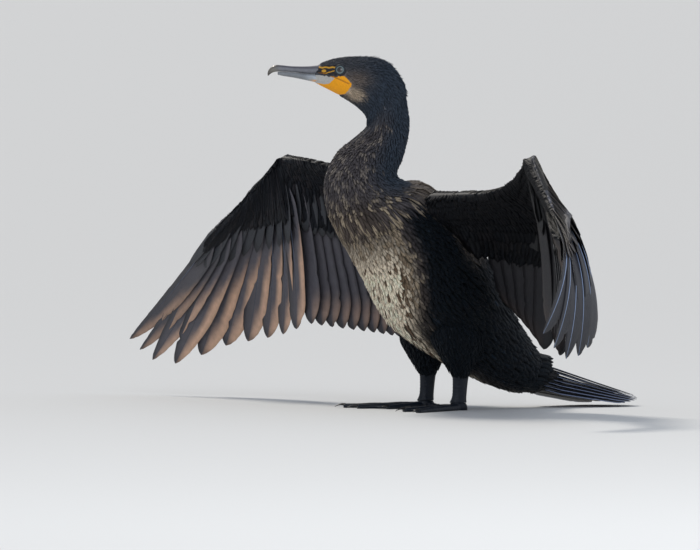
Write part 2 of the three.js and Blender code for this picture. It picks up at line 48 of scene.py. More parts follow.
# The body in millimetres: place, forward, left, up, lean, half depth, half width, turn.
# Its last two rows are drawn in from the solid's, so that the coat ends inside it.
BODY = np.array([
    [0, 135, -36, 353, 14, 9.6, 7.6, 28],
    [1, 117, -26, 350, 0, 18.3, 13, 28],
    [2, 96, -15, 344, 2, 26.5, 17.5, 28],
    [3, 78.4, -6, 335.6, 20, 31.6, 20, 28],
    [4, 70.3, -1, 319.8, 44, 29, 21, 26],
    [5, 70, -1, 310, 56, 26.3, 21.5, 24],
    [6, 74, 0, 290, 83, 28.1, 23.5, 19],
    [7, 89.2, 0, 268, 93, 35.9, 28.5, 12],
    [8, 100, 0, 244, 86, 39, 36, 4],
    [9, 91, 0, 224, 70, 46.5, 46, 0],
    [10, 76.7, 0, 212.7, 63, 54.5, 51, 0],
    [11, 41.4, 0, 173.4, 55, 61.8, 62, 0],
    [12, 22, 0, 143, 52, 64, 64, 0],
    [13, 1, 0, 115, 52, 60.6, 62, 0],
    [14, -45, 0, 71, 46, 43.1, 50, 0],
    [15, -90, 0, 40.5, 31, 27.5, 31, 0],
    [16, -103, 0, 34.5, 27, 20.5, 22, 0],
], float)
RUMP_END = 16.0

# Sections of the tail's root: place, forward, up, half height, half width.
TAIL_CORE = np.array([
    [0, -104, 34, 22, 23], [1, -112, 33, 17, 20], [2, -122, 31, 12, 16], [3, -132, 29, 8, 13],
    [4, -140, 27, 4, 9],
], float)

# Sections of a thigh: place, forward, aside, up, half length, half width.
THIGH = np.array([
    [0, 6, 26, 105, 30, 22], [1, 2, 34, 75, 32, 24], [2, 2, 36, 57, 22.5, 18], [3, 2, 36, 45, 15, 12.5],
    [4, 1, 36, 37.3, 11.5, 9],
], float)
LEG_SPACING = 36

HEAD_TURN = math.radians(28)
HEAD_ORIGIN = np.array([111.6, -23.3, 355.5])
HEAD_FORWARD = np.array([math.cos(HEAD_TURN), -math.sin(HEAD_TURN), 0])
HEAD_LEFT = np.array([math.sin(HEAD_TURN), math.cos(HEAD_TURN), 0])
UP = np.array([0, 0, 1.0])
EYE_RADIUS = 6.2
EYE_DEPTH = 8.9
PUPIL_RADIUS = 2.95
LID_RADIUS = 4.9
LID_THICKNESS = 0.95
LID_LIFT = 4.1

# Bill: place, forward and above the eye, lean, half height, half width.
UPPER_BILL = np.array([
    [-0.5, 8, 0.8, 0, 5.4, 8], [0, 16, 1.2, 0, 5.2, 7.6], [1, 33, 0.6, 0, 4.0, 5.8],
    [2, 50, 1.5, 0, 3.1, 4.5], [3, 61, 2.3, 3, 3.3, 4.1], [4, 67.5, 2.4, 18, 3.6, 3.7],
    [5, 72.3, 0.2, 52, 2.9, 2.8], [6, 75, -2.9, 74, 1.6, 1.6], [7, 75.8, -5.2, 84, 0.5, 0.5],
], float)
LOWER_BILL = np.array([
    [0, 16, -8.6, 0, 5.4, 7.4], [1, 30, -7.4, 0, 3.9, 5.8], [2, 47, -4.6, 0, 3.1, 4.3],
    [3, 60, -3.2, 0, 2.4, 3.3], [4, 66, -2.6, 0, 1.6, 2.4],
], float)

# Marks of the bare face, forward of and above the eye.
MOUTH_LINE = np.array([[28, -2.6], [17.6, -2.9], [5, -7.4], [-9.1, -13.9]], float)
GULAR_PATCH = np.array([
    [31, -11.5], [17, -14], [12, -13.3], [4.6, -6.6], [-3.4, -5.4], [-7.6, -9], [-11.6, -14.4],
    [-8.6, -19.4], [-4.6, -24.2], [5, -26], [19, -20], [32, -14],
], float)
PALE_BASE = np.array([[33, -4], [4.6, -6.2], [12, -13.4], [17, -14.2], [33, -11.6]], float)
LORE = np.array([[27, 4.5], [3.5, 6.2], [2.5, -1.5], [5, -5.5], [27, -1.5]], float)

PRIMARY_FAN = {
    "left": np.array([
        [1, -0.1, 0.36, -0.93, 168, 0.08], [4, 0.05, 0.65, -0.75, 188, 0.1],
        [6, 0.18, 0.71, -0.67, 214, 0.1], [8, 0.34, 0.72, -0.6, 232, 0.085],
        [10, 0.5, 0.73, -0.46, 215, 0.07],
    ]),
    "right": np.array([
        [1, -0.14, 0.05, -0.985, 172, 0.04], [3, -0.17, 0.33, -0.93, 182, 0.04],
        [5, -0.11, 0.54, -0.83, 198, 0.04], [7, 0.02, 0.64, -0.77, 222, 0.04],
        [8, 0.055, 0.71, -0.7, 228, 0.04], [10, 0.07, 0.82, -0.57, 215, 0.04],
    ]),
}
SECONDARY_FAN = np.array([
    [1, -0.15, -0.05, -0.985, 168, 0.05], [9, -0.25, -0.18, -0.95, 164, 0.05],
    [17, -0.18, -0.3, -0.93, 158, 0.05],
])
TERTIAL_FAN = np.array([[1, -0.18, -0.33, -0.93, 152, 0.05], [5, -0.42, -0.22, -0.86, 118, 0.05]])
WINGS = {
    "left": {
        "shoulder": [36, 45, 209], "elbow": [-45, 165, 205], "wrist": [46, 270, 258], "tip": [71, 378, 196],
        "lead": 15,
        "edge": [[40, 44, 227], [90, 33, 228], [130, 26, 230], [190, 32, 241], [270, 48, 269]],
    },
    "right": {
        "shoulder": [36, 45, 209], "elbow": [-45, 165, 205], "wrist": [50, 270, 250], "tip": [75, 378, 182],
        "lead": 8,
        "edge": [[40, 46, 222], [90, 42, 234], [130, 44, 246], [200, 50, 257], [270, 54, 262]],
    },
}
PRIMARIES = 10
SECONDARIES = 17
TERTIALS = 5
OUTER_PRIMARIES_FROM = 9
PRIMARY_WIDTH = 35
OUTER_PRIMARY_WIDTH = 26
SECONDARY_WIDTH = 27
TERTIAL_WIDTH = 30
VANE_STEP = 1.4
CORE_REACH = 42
COVERT_LIFT = 3.6
TAIL_FEATHERS = 14
TAIL_ROOT = np.array([-122.0, 0.0, 43.0])
TAIL_LENGTH = 108
TAIL_SOCKET = 14
TAIL_STEP = 4.3
TAIL_SPREAD = 13
TAIL_FALL = 18
OUTER_TAIL_FALL = 9.3


def unit(v):
    v = np.asarray(v, float)
    return v / np.maximum(np.linalg.norm(v, axis=-1, keepdims=True), 1e-9)


def srgb(*values):
    """A colour given in display values, as the linear one that a shader takes."""
    v = np.array(values, float) / 255
    return np.where(v <= 0.04045, v / 12.92, ((v + 0.055) / 1.055) ** 2.4)


def smooth(low, high, x):
    t = np.clip((np.asarray(x, float) - low) / (high - low), 0, 1)
    return t * t * (3 - 2 * t)


def mix(a, b, t):
    t = np.asarray(t, float)
    if t.ndim:
        t = t[..., None]
    return a * (1 - t) + b * t


def keyed(rows, place):
    """Smooth values between the rows of a table whose first column is the place along it."""
    place = np.atleast_1d(np.asarray(place, float))
    x, v = rows[:, 0], rows[:, 1:]
    last = len(x) - 1
    i = np.clip(np.searchsorted(x, place, side="left") - 1, 0, last - 1)
    before, after = np.maximum(i - 1, 0), np.minimum(i + 2, last)
    span = (x[i + 1] - x[i])[:, None]
    t = np.clip((place - x[i]) / span[:, 0], 0, 1)[:, None]
    slope_from = (v[i + 1] - v[before]) / (x[i + 1] - x[before])[:, None] * span
    slope_to = (v[after] - v[i]) / (x[after] - x[i])[:, None] * span
    rise = v[i + 1] - v[i]
    return (v[i] + t * slope_from + t * t * (3 * rise - 2 * slope_from - slope_to)
            + t ** 3 * (slope_from + slope_to - 2 * rise))


# From the modelling origin to the frame's, by the place of the left eye.
EYE_LEFT = HEAD_ORIGIN + HEAD_LEFT * EYE_DEPTH
low, high = (np.array(corner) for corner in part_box("eye_left"))
OFFSET = (low + high) / 2 / MM - EYE_LEFT


class Shape:
    """Points and faces gathered for one piece, in millimetres."""

    def __init__(self):
        self.points, self.faces, self.tints, self.vanes, self.uvs = [], [], [], [], []
        self.count = 0

    def add(self, points, faces, tint, vane=None, uv=None):
        points = np.asarray(points, float).reshape(-1, 3)
        n = len(points)
        self.points.append(points)
        for group in faces:
            if len(group):
                self.faces.append(np.asarray(group, int) + self.count)
        self.tints.append(np.broadcast_to(np.asarray(tint, float), (n, 3)))
        self.vanes.append(np.zeros((n, 3)) if vane is None else np.asarray(vane, float).reshape(-1, 3))
        self.uvs.append(np.zeros((n, 2)) if uv is None else np.asarray(uv, float).reshape(-1, 2))
        self.count += n

    def add_rings(self, rings, tint):
        """A closed skin over rings of equally many points, in one colour."""
        self.add(*loft(rings), tint)

    def build(self, name, material, slot, mirror=False):
        points = np.concatenate(self.points)
        if mirror:
            points = points * [1, -1, 1]
        points = (points + OFFSET) * MM
        groups = [f[:, ::-1] if mirror else f for f in self.faces]
        loops = np.concatenate([f.ravel() for f in groups])
        sizes = np.concatenate([np.full(len(f), f.shape[1]) for f in groups])
        mesh = bpy.data.meshes.new(name)
        mesh.vertices.add(len(points))
        mesh.vertices.foreach_set("co", points.ravel())
        mesh.loops.add(len(loops))
        mesh.loops.foreach_set("vertex_index", loops)
        mesh.polygons.add(len(sizes))
        mesh.polygons.foreach_set("loop_start", np.concatenate([[0], np.cumsum(sizes)[:-1]]))
        mesh.update(calc_edges=True)
        uv = mesh.uv_layers.new(name="OFBake")
        uv.data.foreach_set("uv", np.clip(np.concatenate(self.uvs)[loops], 0, 1).ravel())
        set_tint(mesh, np.concatenate(self.tints))
        vane = mesh.attributes.new("vane", "FLOAT_VECTOR", "POINT")
        vane.data.foreach_set("vector", np.concatenate(self.vanes).ravel())
        mesh.shade_smooth()
        return place_mesh(mesh, name, material)


def set_tint(mesh, tints):
    layer = mesh.attributes.new("tint", "FLOAT_COLOR", "POINT")
    rgba = np.concatenate([np.clip(tints, 0, 1), np.ones((len(tints), 1))], axis=1)
    layer.data.foreach_set("color", rgba.ravel())


def place_mesh(mesh, name, material):
    obj = bpy.data.objects.new(name, mesh)
    bpy.context.scene.collection.objects.link(obj)
    mesh.materials.append(material)
    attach(obj, "root")
    return obj


def circle(count):
    """Angles spread evenly over one turn."""
    return 2 * np.pi * np.arange(count) / count


def grid(rows, cols, around):
    """Quads of a grid of rows x cols points; around closes each row."""
    i = np.arange(rows - 1)[:, None]
    j = np.arange(cols if around else cols - 1)[None, :]
    k = (j + 1) % cols
    quads = np.stack([i * cols + j, i * cols + k, (i + 1) * cols + k, (i + 1) * cols + j], axis=-1)
    return quads.reshape(-1, 4)


def slab_faces(rows, cols):
    """Faces of a closed slab: an upper grid of points, an under one, and the rim between them."""
    per = rows * cols
    sheet = grid(rows, cols, False)
    rim = []
    for r in range(rows - 1):
        k = r * cols
        rim.append([k, k + cols, k + cols + per, k + per])
        k += cols - 1
        rim.append([k + per, k + cols + per, k + cols, k])
    for c in range(cols - 1):
        rim.append([c, c + per, c + 1 + per, c + 1])
        k = per - cols + c
        rim.append([k, k + 1, k + 1 + per, k + per])
    return np.concatenate([sheet[:, ::-1], sheet + per, np.array(rim)[:, ::-1]])


def loft(rings):
    """Points and faces of a closed skin over rings of equally many points."""
    rings = np.asarray(rings, float)
    rows, sides = rings.shape[:2]
    points = np.concatenate([rings.reshape(-1, 3), rings[0].mean(0)[None], rings[-1].mean(0)[None]])
    quads = grid(rows, sides, True)
    j = np.arange(sides)
    k = (j + 1) % sides
    first = np.stack([k, j, np.full(sides, rows * sides)], axis=1)
    last = np.stack([j, k, np.full(sides, rows * sides + 1)], axis=1)
    last[:, :2] += (rows - 1) * sides
    volume = 0.0
    for f in (quads[:, :3], quads[:, [0, 2, 3]], first, last):
        volume += np.einsum("ij,ij->", points[f[:, 0]], np.cross(points[f[:, 1]], points[f[:, 2]]))
    caps = np.concatenate([first, last])
    if volume < 0:
        quads, caps = quads[:, ::-1], caps[:, ::-1]
    return points, [quads, caps]


# Surfaces that feathers grow on: each gives the point at (a, b), with a running the way feathers lie
def body_point(a, b):
    x, y, z, lean, depth, width, turn = keyed(BODY, a).T
    lean, turn = np.radians(lean), np.radians(turn)
    back = np.stack([-np.sin(lean) * np.cos(turn), np.sin(lean) * np.sin(turn), np.cos(lean)], axis=1)
    left = np.stack([np.sin(turn), np.cos(turn), 0 * turn], axis=1)
    rise = (depth * np.cos(b))[:, None]
    aside = (width * np.sin(b))[:, None]
    return np.stack([x, y, z], axis=1) + back * rise + left * aside


def tail_point(a, b, grow=0):
    x, z, height, width = keyed(TAIL_CORE, a).T
    return np.stack([x, (width + grow) * np.sin(b), z + (height + grow) * np.cos(b)], axis=1)


def thigh_point(side):
    def point(a, b, grow=0):
        x, y, z, length, width = keyed(THIGH, a).T
        return np.stack([x - (length + grow) * np.cos(b), side * y + (width + grow) * np.sin(b), z], axis=1)
    return point


def slopes(point, a, b):
    step = 1e-3
    by_a = (point(a + step, b) - point(a - step, b)) / (2 * step)
    by_b = (point(a, b + step) - point(a, b - step)) / (2 * step)
    return by_a, by_b


def outward(point, a, b):
    by_a, by_b = slopes(point, a, b)
    return unit(np.cross(by_b, by_a))


def walked(point, a, b, heading, distance):
    """Where a walk along the surface ends; heading 0 is the way of a, positive towards b."""
    by_a, by_b = slopes(point, a, b)
    along = unit(by_a)
    part = np.einsum("ij,ij->i", by_b, along)
    side = np.linalg.norm(by_b - along * part[:, None], axis=1)
    step_b = distance * np.sin(heading) / np.maximum(side, 1e-6)
    step_a = (distance * np.cos(heading) - step_b * part) / np.maximum(np.linalg.norm(by_a, axis=1), 1e-6)
    return a + step_a, b + step_b


def walk_over(point, a, b, heading, distance):
    """Point and normal halfway along a walk and at its end, and the end's place along the surface."""
    found = []
    for share in (0.5, 1):
        place = walked(point, a, b, heading, distance * share)
        found += [point(*place), outward(point, *place)]
    return (*found, place[0])


def root_uv(a, b, a_range, b_range=(0, 2 * np.pi)):
    """The place of each root on an unwrap of its surface."""
    return np.stack([UV_START + UV_SPAN * (a - a_range[0]) / (a_range[1] - a_range[0]),
                     UV_START + UV_SPAN * (b - b_range[0]) / (b_range[1] - b_range[0])], axis=1)


def scatter(point, a_range, b_range, spacing, tries):
    """Spots on a surface, none closer to another than the spacing there."""
    a = rng.uniform(*a_range, tries)
    b = rng.uniform(*b_range, tries)
    by_a, by_b = slopes(point, a, b)
    area = np.linalg.norm(np.cross(by_a, by_b), axis=1)
    gap = spacing(a)
    weight = area / gap ** 2
    keep = rng.uniform(0, 1, tries) < weight / np.quantile(weight, 0.98)
    a, b, gap = a[keep], b[keep], gap[keep]
    where = point(a, b)
    cell_size = gap.max()
    cells = np.floor(where / cell_size).astype(int)
    near = [(i, j, k) for i in (-1, 0, 1) for j in (-1, 0, 1) for k in (-1, 0, 1)]
    taken, chosen = {}, []
    for index, (cell, place, r) in enumerate(zip(cells.tolist(), where.tolist(), gap.tolist())):
        limit = r * r
        x, y, z = place
        free = True
        for i, j, k in near:
            for ox, oy, oz in taken.get((cell[0] + i, cell[1] + j, cell[2] + k), ()):
                if (x - ox) ** 2 + (y - oy) ** 2 + (z - oz) ** 2 < limit:
                    free = False
                    break
            if not free:
                break
        if free:
            taken.setdefault(tuple(cell), []).append((x, y, z))
            chosen.append(index)
    return a[chosen], b[chosen]


LEAF_STATIONS = np.array([0.0, 0.25, 0.55, 0.82])
LEAF_FILL = np.array([0.15, 0.8, 1.0, 0.7])
LEAF_POINTS = 13
LEAF_CAMBER = 0.12
LEAF_PATCH = 0.003
UV_START = 0.01
UV_SPAN = 0.97


def leaf_faces(count):
    """Faces of many leaves: three sides between four rings of three points, closed by the tip."""
    sides = ((0, 1), (1, 2), (2, 0))
    quads = [[r + p, r + q, r + 3 + q, r + 3 + p] for r in (0, 3, 6) for p, q in sides]
    tris = [[0, 2, 1]] + [[9 + p, 9 + q, 12] for p, q in sides]
    shift = (np.arange(count) * LEAF_POINTS)[:, None, None]
    return [(np.array(faces) + shift).reshape(-1, len(faces[0])) for faces in (quads, tris)]


def leaves(shape, base, middle, tip, normal, width, centre, edge, end, uv, crown=0.3):
    """Small feathers, each a closed leaf with a crowned middle, along the curve base, middle, tip."""
    n = len(base)
    s = LEAF_STATIONS[None, :, None]
    line = (base[:, None] * (1 - s) * (1 - 2 * s) + 4 * middle[:, None] * s * (1 - s)
            + tip[:, None] * s * (2 * s - 1))
    across = unit(np.cross(normal, tip - base))[:, None]
    up = unit(np.cross(tip - base, across[:, 0]))[:, None]
    half = (0.5 * width[:, None] * LEAF_FILL)[..., None]
    left = line + across * half - up * LEAF_CAMBER * half
    right = line - across * half - up * LEAF_CAMBER * half
    rings = np.stack([left, line + up * crown, right], axis=2).reshape(n, 12, 3)
    points = np.concatenate([rings, tip[:, None]], axis=1)
    share = s ** 1.5
    rim = edge[:, None] * (0.35 + 0.65 * share) + centre[:, None] * (0.65 - 0.65 * share)
    spine = centre[:, None] * np.ones((1, 4, 1))
    tints = np.concatenate([np.stack([rim, spine, rim], axis=2).reshape(n, 12, 3), end[:, None]], axis=1)
    length = np.linalg.norm(tip - base, axis=1)
    along = np.concatenate([np.repeat(LEAF_STATIONS, 3), [1.0]]) * length[:, None]
    fill = np.concatenate([np.tile([1, 0, -1], 4) * np.repeat(LEAF_FILL, 3), [0]])
    side = fill * width[:, None] / 2
    chance = np.repeat(rng.uniform(0, 1, n)[:, None], LEAF_POINTS, axis=1)
    vane = np.stack([along, side, chance], axis=-1)
    patch = np.stack([0.5 + side / width[:, None] * 0.9, along / length[:, None]], axis=-1) * LEAF_PATCH
    shape.add(points, leaf_faces(n), tints.reshape(-1, 3), vane, uv[:, None] + patch)


# Markings: the same functions colour the skin and the feathers on it
TEAL_BLACK = srgb(22, 34, 46)
NAPE = srgb(56, 66, 79)
CROWN = srgb(74, 76, 82)
CHEEK = srgb(114, 104, 98)
THROAT = srgb(190, 172, 150)
NECK_FRONT = srgb(80, 76, 79)
NECK_FLECK = srgb(128, 120, 114)
BREAST = srgb(78, 69, 64)
BREAST_FLECK = srgb(166, 151, 130)
BELLY = srgb(255, 239, 214)
BELLY_BLOTCH = srgb(104, 84, 66)
# The flank's own blue-black plumage, darkened further by painted shade where the near wing shades it.
FLANK_DARK_AND_PAINTED_SHADE = srgb(7, 17, 26)
MANTLE = srgb(74, 69, 69)
MANTLE_EDGE = srgb(164, 150, 134)
RUMP = srgb(28, 30, 33)
ORANGE = srgb(250, 168, 14)
PALE_HORN = srgb(184, 183, 180)
LORE_YELLOW = srgb(206, 152, 44)
LORE_DARK = srgb(34, 34, 38)
MOUTH_YELLOW = srgb(196, 128, 24)
EYE_SURROUND = 5.6
MOUTH_HALF_WIDTH = 0.7
MOUTH_YELLOW_TO = -9
FACE_END = 3

# The lower edge of the dark flank, its own blue-black plumage darkened further by painted shade: place
# along the body, degrees down from the back.
FLANK_BORDER = np.array([[9, 78], [10, 97], [11, 114], [12, 131], [13, 149], [14, 158], [15, 165]], float)

# The depth of the coat: place along the body, millimetres.
COAT_DEPTH = np.array([
    [0, 0.5], [1, 0.9], [3, 1.3], [4.5, 1.8], [7, 2.6], [9, 3.0], [12, 3.8], [14, 3.6], [16, 2.2],
])


def head_coordinates(points):
    rel = points - HEAD_ORIGIN
    return rel @ HEAD_FORWARD, rel[:, 2], rel @ HEAD_LEFT


def inside(polygon, x, y):
    result = np.zeros(len(x), bool)
    for (x0, y0), (x1, y1) in zip(polygon, np.roll(polygon, -1, axis=0)):
        crosses = (y0 > y) != (y1 > y)
        result ^= crosses & (x < (x1 - x0) * (y - y0) / (y1 - y0 + 1e-12) + x0)
    return result


def line_distance(line, x, y):
    best = np.full(len(x), 1e9)
    for (x0, y0), (x1, y1) in zip(line[:-1], line[1:]):
        t = np.clip(((x - x0) * (x1 - x0) + (y - y0) * (y1 - y0)) / ((x1 - x0) ** 2 + (y1 - y0) ** 2), 0, 1)
        best = np.minimum(best, np.hypot(x - x0 - t * (x1 - x0), y - y0 - t * (y1 - y0)))
    return best


def bare(points):
    """Whether the face is bare there, and the colour of its skin."""
    f, u, _ = head_coordinates(points)
    tint = np.tile(LORE_DARK, (len(points), 1))
    lore = inside(LORE, f, u)
    upper_streak = np.abs(u - 3.4 - 0.3 * np.sin(f * 0.9)) < 0.8
    lower_streak = np.abs(u + 0.3 * f - 2.0) < 0.5
    spot = np.hypot((f - 17.5) / 1.6, u + 0.2) < 1.5
    pale = inside(PALE_BASE, f, u)
    gular = inside(GULAR_PATCH, f, u) & ~pale
    eye = np.hypot(f, u) < EYE_SURROUND
    mouth = (line_distance(MOUTH_LINE, f, u) < MOUTH_HALF_WIDTH) & (f > MOUTH_YELLOW_TO)
    marks = [(lore & (upper_streak | lower_streak) | spot, LORE_YELLOW), (pale, PALE_HORN), (gular, ORANGE),
             (eye, LORE_DARK), (mouth, MOUTH_YELLOW)]
    for area, colour in marks:
        tint[area] = colour
    return lore | pale | gular | eye, tint


def zones(a, b, points):
    """Centre, edge and fleck colour of the coat, and the chance of a fleck."""
    v = np.degrees(np.abs((b + np.pi) % (2 * np.pi) - np.pi))
    f, u, _ = head_coordinates(points)
    cheek = np.exp(-((f + 14) / 13) ** 2 - ((u + 9) / 9) ** 2)
    throat = np.exp(-((f + 13 - 0.3 * (u + 24)) / 9) ** 2 - ((u + 24) / 6.5) ** 2)
    centre = mix(CROWN, NAPE, smooth(0.8, 3.2, a))
    centre = mix(centre, CHEEK, np.clip(1.1 * cheek, 0, 1))
    centre = mix(centre, THROAT, np.clip(1.5 * throat - 0.1, 0, 1))
    fleck = centre * 1.35
    chance = 0.25 + 0 * a

    def lay(weight, centre_colour, fleck_colour, fleck_chance):
        nonlocal centre, fleck, chance
        centre = mix(centre, centre_colour, weight)
        fleck = mix(fleck, fleck_colour, weight)
        chance = chance * (1 - weight) + weight * fleck_chance

    below = v - np.interp(a, FLANK_BORDER[:, 0], FLANK_BORDER[:, 1])
    flank = smooth(9.2, 10.2, a) * (1 - smooth(-9, 9, below))
    belly = smooth(9.9, 11.0, a) * smooth(2, 28, below) * (1 - smooth(14.0, 14.6, a))
    mantle = smooth(8.4, 9.3, a) * (1 - smooth(52, 74, v)) * (1 - smooth(11.2, 12.4, a))
    neck = mix(NAPE, NECK_FRONT, smooth(60, 120, v))
    lay(smooth(3.2, 5.2, a), neck, NECK_FLECK, 0.38 * smooth(45, 110, v))
    lay(smooth(8.0, 9.4, a), mix(NECK_FRONT, BREAST, smooth(80, 140, v)), BREAST_FLECK, 0.45)
    lay(belly, BELLY, BELLY_BLOTCH, 0.84 - 0.54 * smooth(4, 40, below))
    chance = chance * (1 - 0.25 * smooth(10.3, 11.6, a) * (1 - belly))
    # The dark flank: its own plumage with painted shade from the near wing.
    lay(flank, FLANK_DARK_AND_PAINTED_SHADE, TEAL_BLACK * 1.5, 0.15)
    lay(mantle, MANTLE, MANTLE * 1.3, 0.3)
    lay(smooth(11.6, 13.0, a) * (1 - belly) * (1 - flank), RUMP, RUMP * 1.7, 0.2)
    return centre, mix(centre * 1.12, MANTLE_EDGE, mantle), fleck, chance


def mottle(points):
    """A smooth pattern from 0 to 1 with patches a few millimetres across."""
    x, y, z = (points / [1.9, 1.9, 2.6]).T
    wave = np.sin(x + 1.7 * np.sin(0.7 * z + 0.4 * y)) + np.sin(1.3 * y + 1.5 * np.sin(0.9 * x))
    wave += np.sin(1.1 * z + 1.6 * np.sin(0.8 * y - 0.5 * x))
    return 0.5 + wave / 5


def coat_depth(a):
    return np.interp(a, COAT_DEPTH[:, 0], COAT_DEPTH[:, 1])


# Wing feathers, as a left wing
def wing_feathers(name):
    wing = WINGS[name]
    shoulder, elbow, wrist, tip = (np.array(wing[k], float) for k in ("shoulder", "elbow", "wrist", "tip"))
    feathers = []

    def add(kind, number, root, row, width):
        direction = unit(row[:3])
        feathers.append({"kind": kind, "number": number, "root": root, "along": direction,
                         "length": row[3], "arch": row[4], "width": width})

    for i in range(TERTIALS, 0, -1):
        add("tertial", i, elbow + (shoulder - elbow) * 0.12 * i, keyed(TERTIAL_FAN, i)[0], TERTIAL_WIDTH)
    for i in range(SECONDARIES, 0, -1):
        root = wrist + (elbow - wrist) * (i - 0.5) / SECONDARIES
        add("secondary", i, root, keyed(SECONDARY_FAN, i)[0], SECONDARY_WIDTH)
    for i in range(1, PRIMARIES + 1):
        root = wrist + (tip - wrist) * (0.05 + 0.95 * ((i - 1) / (PRIMARIES - 1)) ** 1.1)
        width = OUTER_PRIMARY_WIDTH if i >= OUTER_PRIMARIES_FROM else PRIMARY_WIDTH
        add("primary", i, root, keyed(PRIMARY_FAN[name], i)[0], width)
    last = len(feathers) - 1
    for _ in range(3):
        middles = [q["root"] + q["along"] * q["length"] / 2
                   + (q["face"] * q["length"] * q["arch"] if "face" in q else 0) for q in feathers]
        for i, q in enumerate(feathers):
            tangent = middles[min(i + 1, last)] - middles[max(i - 1, 0)]
            q["face"] = unit(np.cross(tangent, q["along"]))
    for i, q in enumerate(feathers):
        other = feathers[i + 1] if i < last else feathers[i - 1]
        q["tilt"] = math.asin(VANE_STEP / np.linalg.norm(other["root"] - q["root"]))
    return feathers


def hand_axes(name, feathers):
    """The way along the bones of the hand, and the way from them to its leading edge."""
    axis = unit(np.subtract(WINGS[name]["tip"], WINGS[name]["wrist"]))
    down = feathers[TERTIALS + SECONDARIES]["along"]
    return axis, unit(axis * (down @ axis) - down)


def wing_sections(name, feathers):
    """A table of the wing's sections: place, front, bone, rear, upper direction, thickness."""
    wing = WINGS[name]
    shoulder = np.array(wing["shoulder"], float)
    edge = np.array(wing["edge"], float)
    axis, lead = hand_axes(name, feathers)
    rows = []

    def edge_at(out):
        forward, up = keyed(edge, out)[0]
        return np.array([forward, out, up])

    def add(bone, front, rear, distal, thickness):
        upper = unit(np.cross(distal, rear - front))
        rows.append(np.concatenate([[len(rows)], front, bone, rear, upper, [thickness]]))

    outward_axis = np.array([0.0, 1.0, 0.0])
    add(shoulder, edge_at(shoulder[1]), shoulder + [-26, 0, -22], outward_axis, 14)
    between = (shoulder + feathers[0]["root"]) / 2
    add(between, edge_at(between[1]), between + [-16, 0, -28], outward_axis, 12.5)
    for i, q in enumerate(feathers):
        hand = q["kind"] == "primary"
        along_hand = (i - TERTIALS - SECONDARIES) / (PRIMARIES - 1) if hand else 0
        size = 1 - 0.7 * along_hand
        reach = CORE_REACH * size
        part = reach / q["length"]
        rear = q["root"] + q["along"] * reach + q["face"] * q["length"] * q["arch"] * 4 * part * (1 - part)
        front = q["root"] + lead * wing["lead"] * size if hand else edge_at(q["root"][1])
        thickness = 7 * size if hand else 11.5 - 3.5 * (q["root"][1] - 100) / 170
        add(q["root"], front, rear, axis if hand else outward_axis, thickness)
    return np.array(rows)


def wing_point(table, side, least=0.2):
    """The upper (side 1) or under (side -1) surface; a runs from the front edge to the rear and on.
    The rear part stands off the middle of the wing by least or more."""
    def point(a, b, grow=0):
        columns = keyed(table, b)
        front, bone, rear, upper = (columns[:, k:k + 3] for k in (0, 3, 6, 9))
        thickness = columns[:, 12]
        control = 2 * bone - 0.5 * front - 0.5 * rear
        t = np.clip(a, 0, 1)[:, None]
        on = front * (1 - t) ** 2 + control * 2 * t * (1 - t) + rear * t * t
        on = on + np.maximum(a - 1, 0)[:, None] * 2 * (rear - control)
        rise = np.interp(a, [0, 0.04, 0.1, 0.4, 0.75, 1, 1.5], [0, 0.42, 0.7, 1, 0.7, 0.3, 0.2])
        floor = (0.2 + (least - 0.2) * smooth(0.3, 0.6, a)) * (a > 0)
        half = np.maximum(rise * thickness + grow, floor)
        return on + side * upper * half[:, None]
    return point


# Long feathers: two webs with pointed tips and small splits, and a shaft.
VANE_ACROSS = np.array([1.0, 0.62, 0.0, -0.34, -0.7, -1.0])
VANE_THICKNESS = 0.36
VANE_CAMBER = 0.05
SHAFT_SIDES = 6


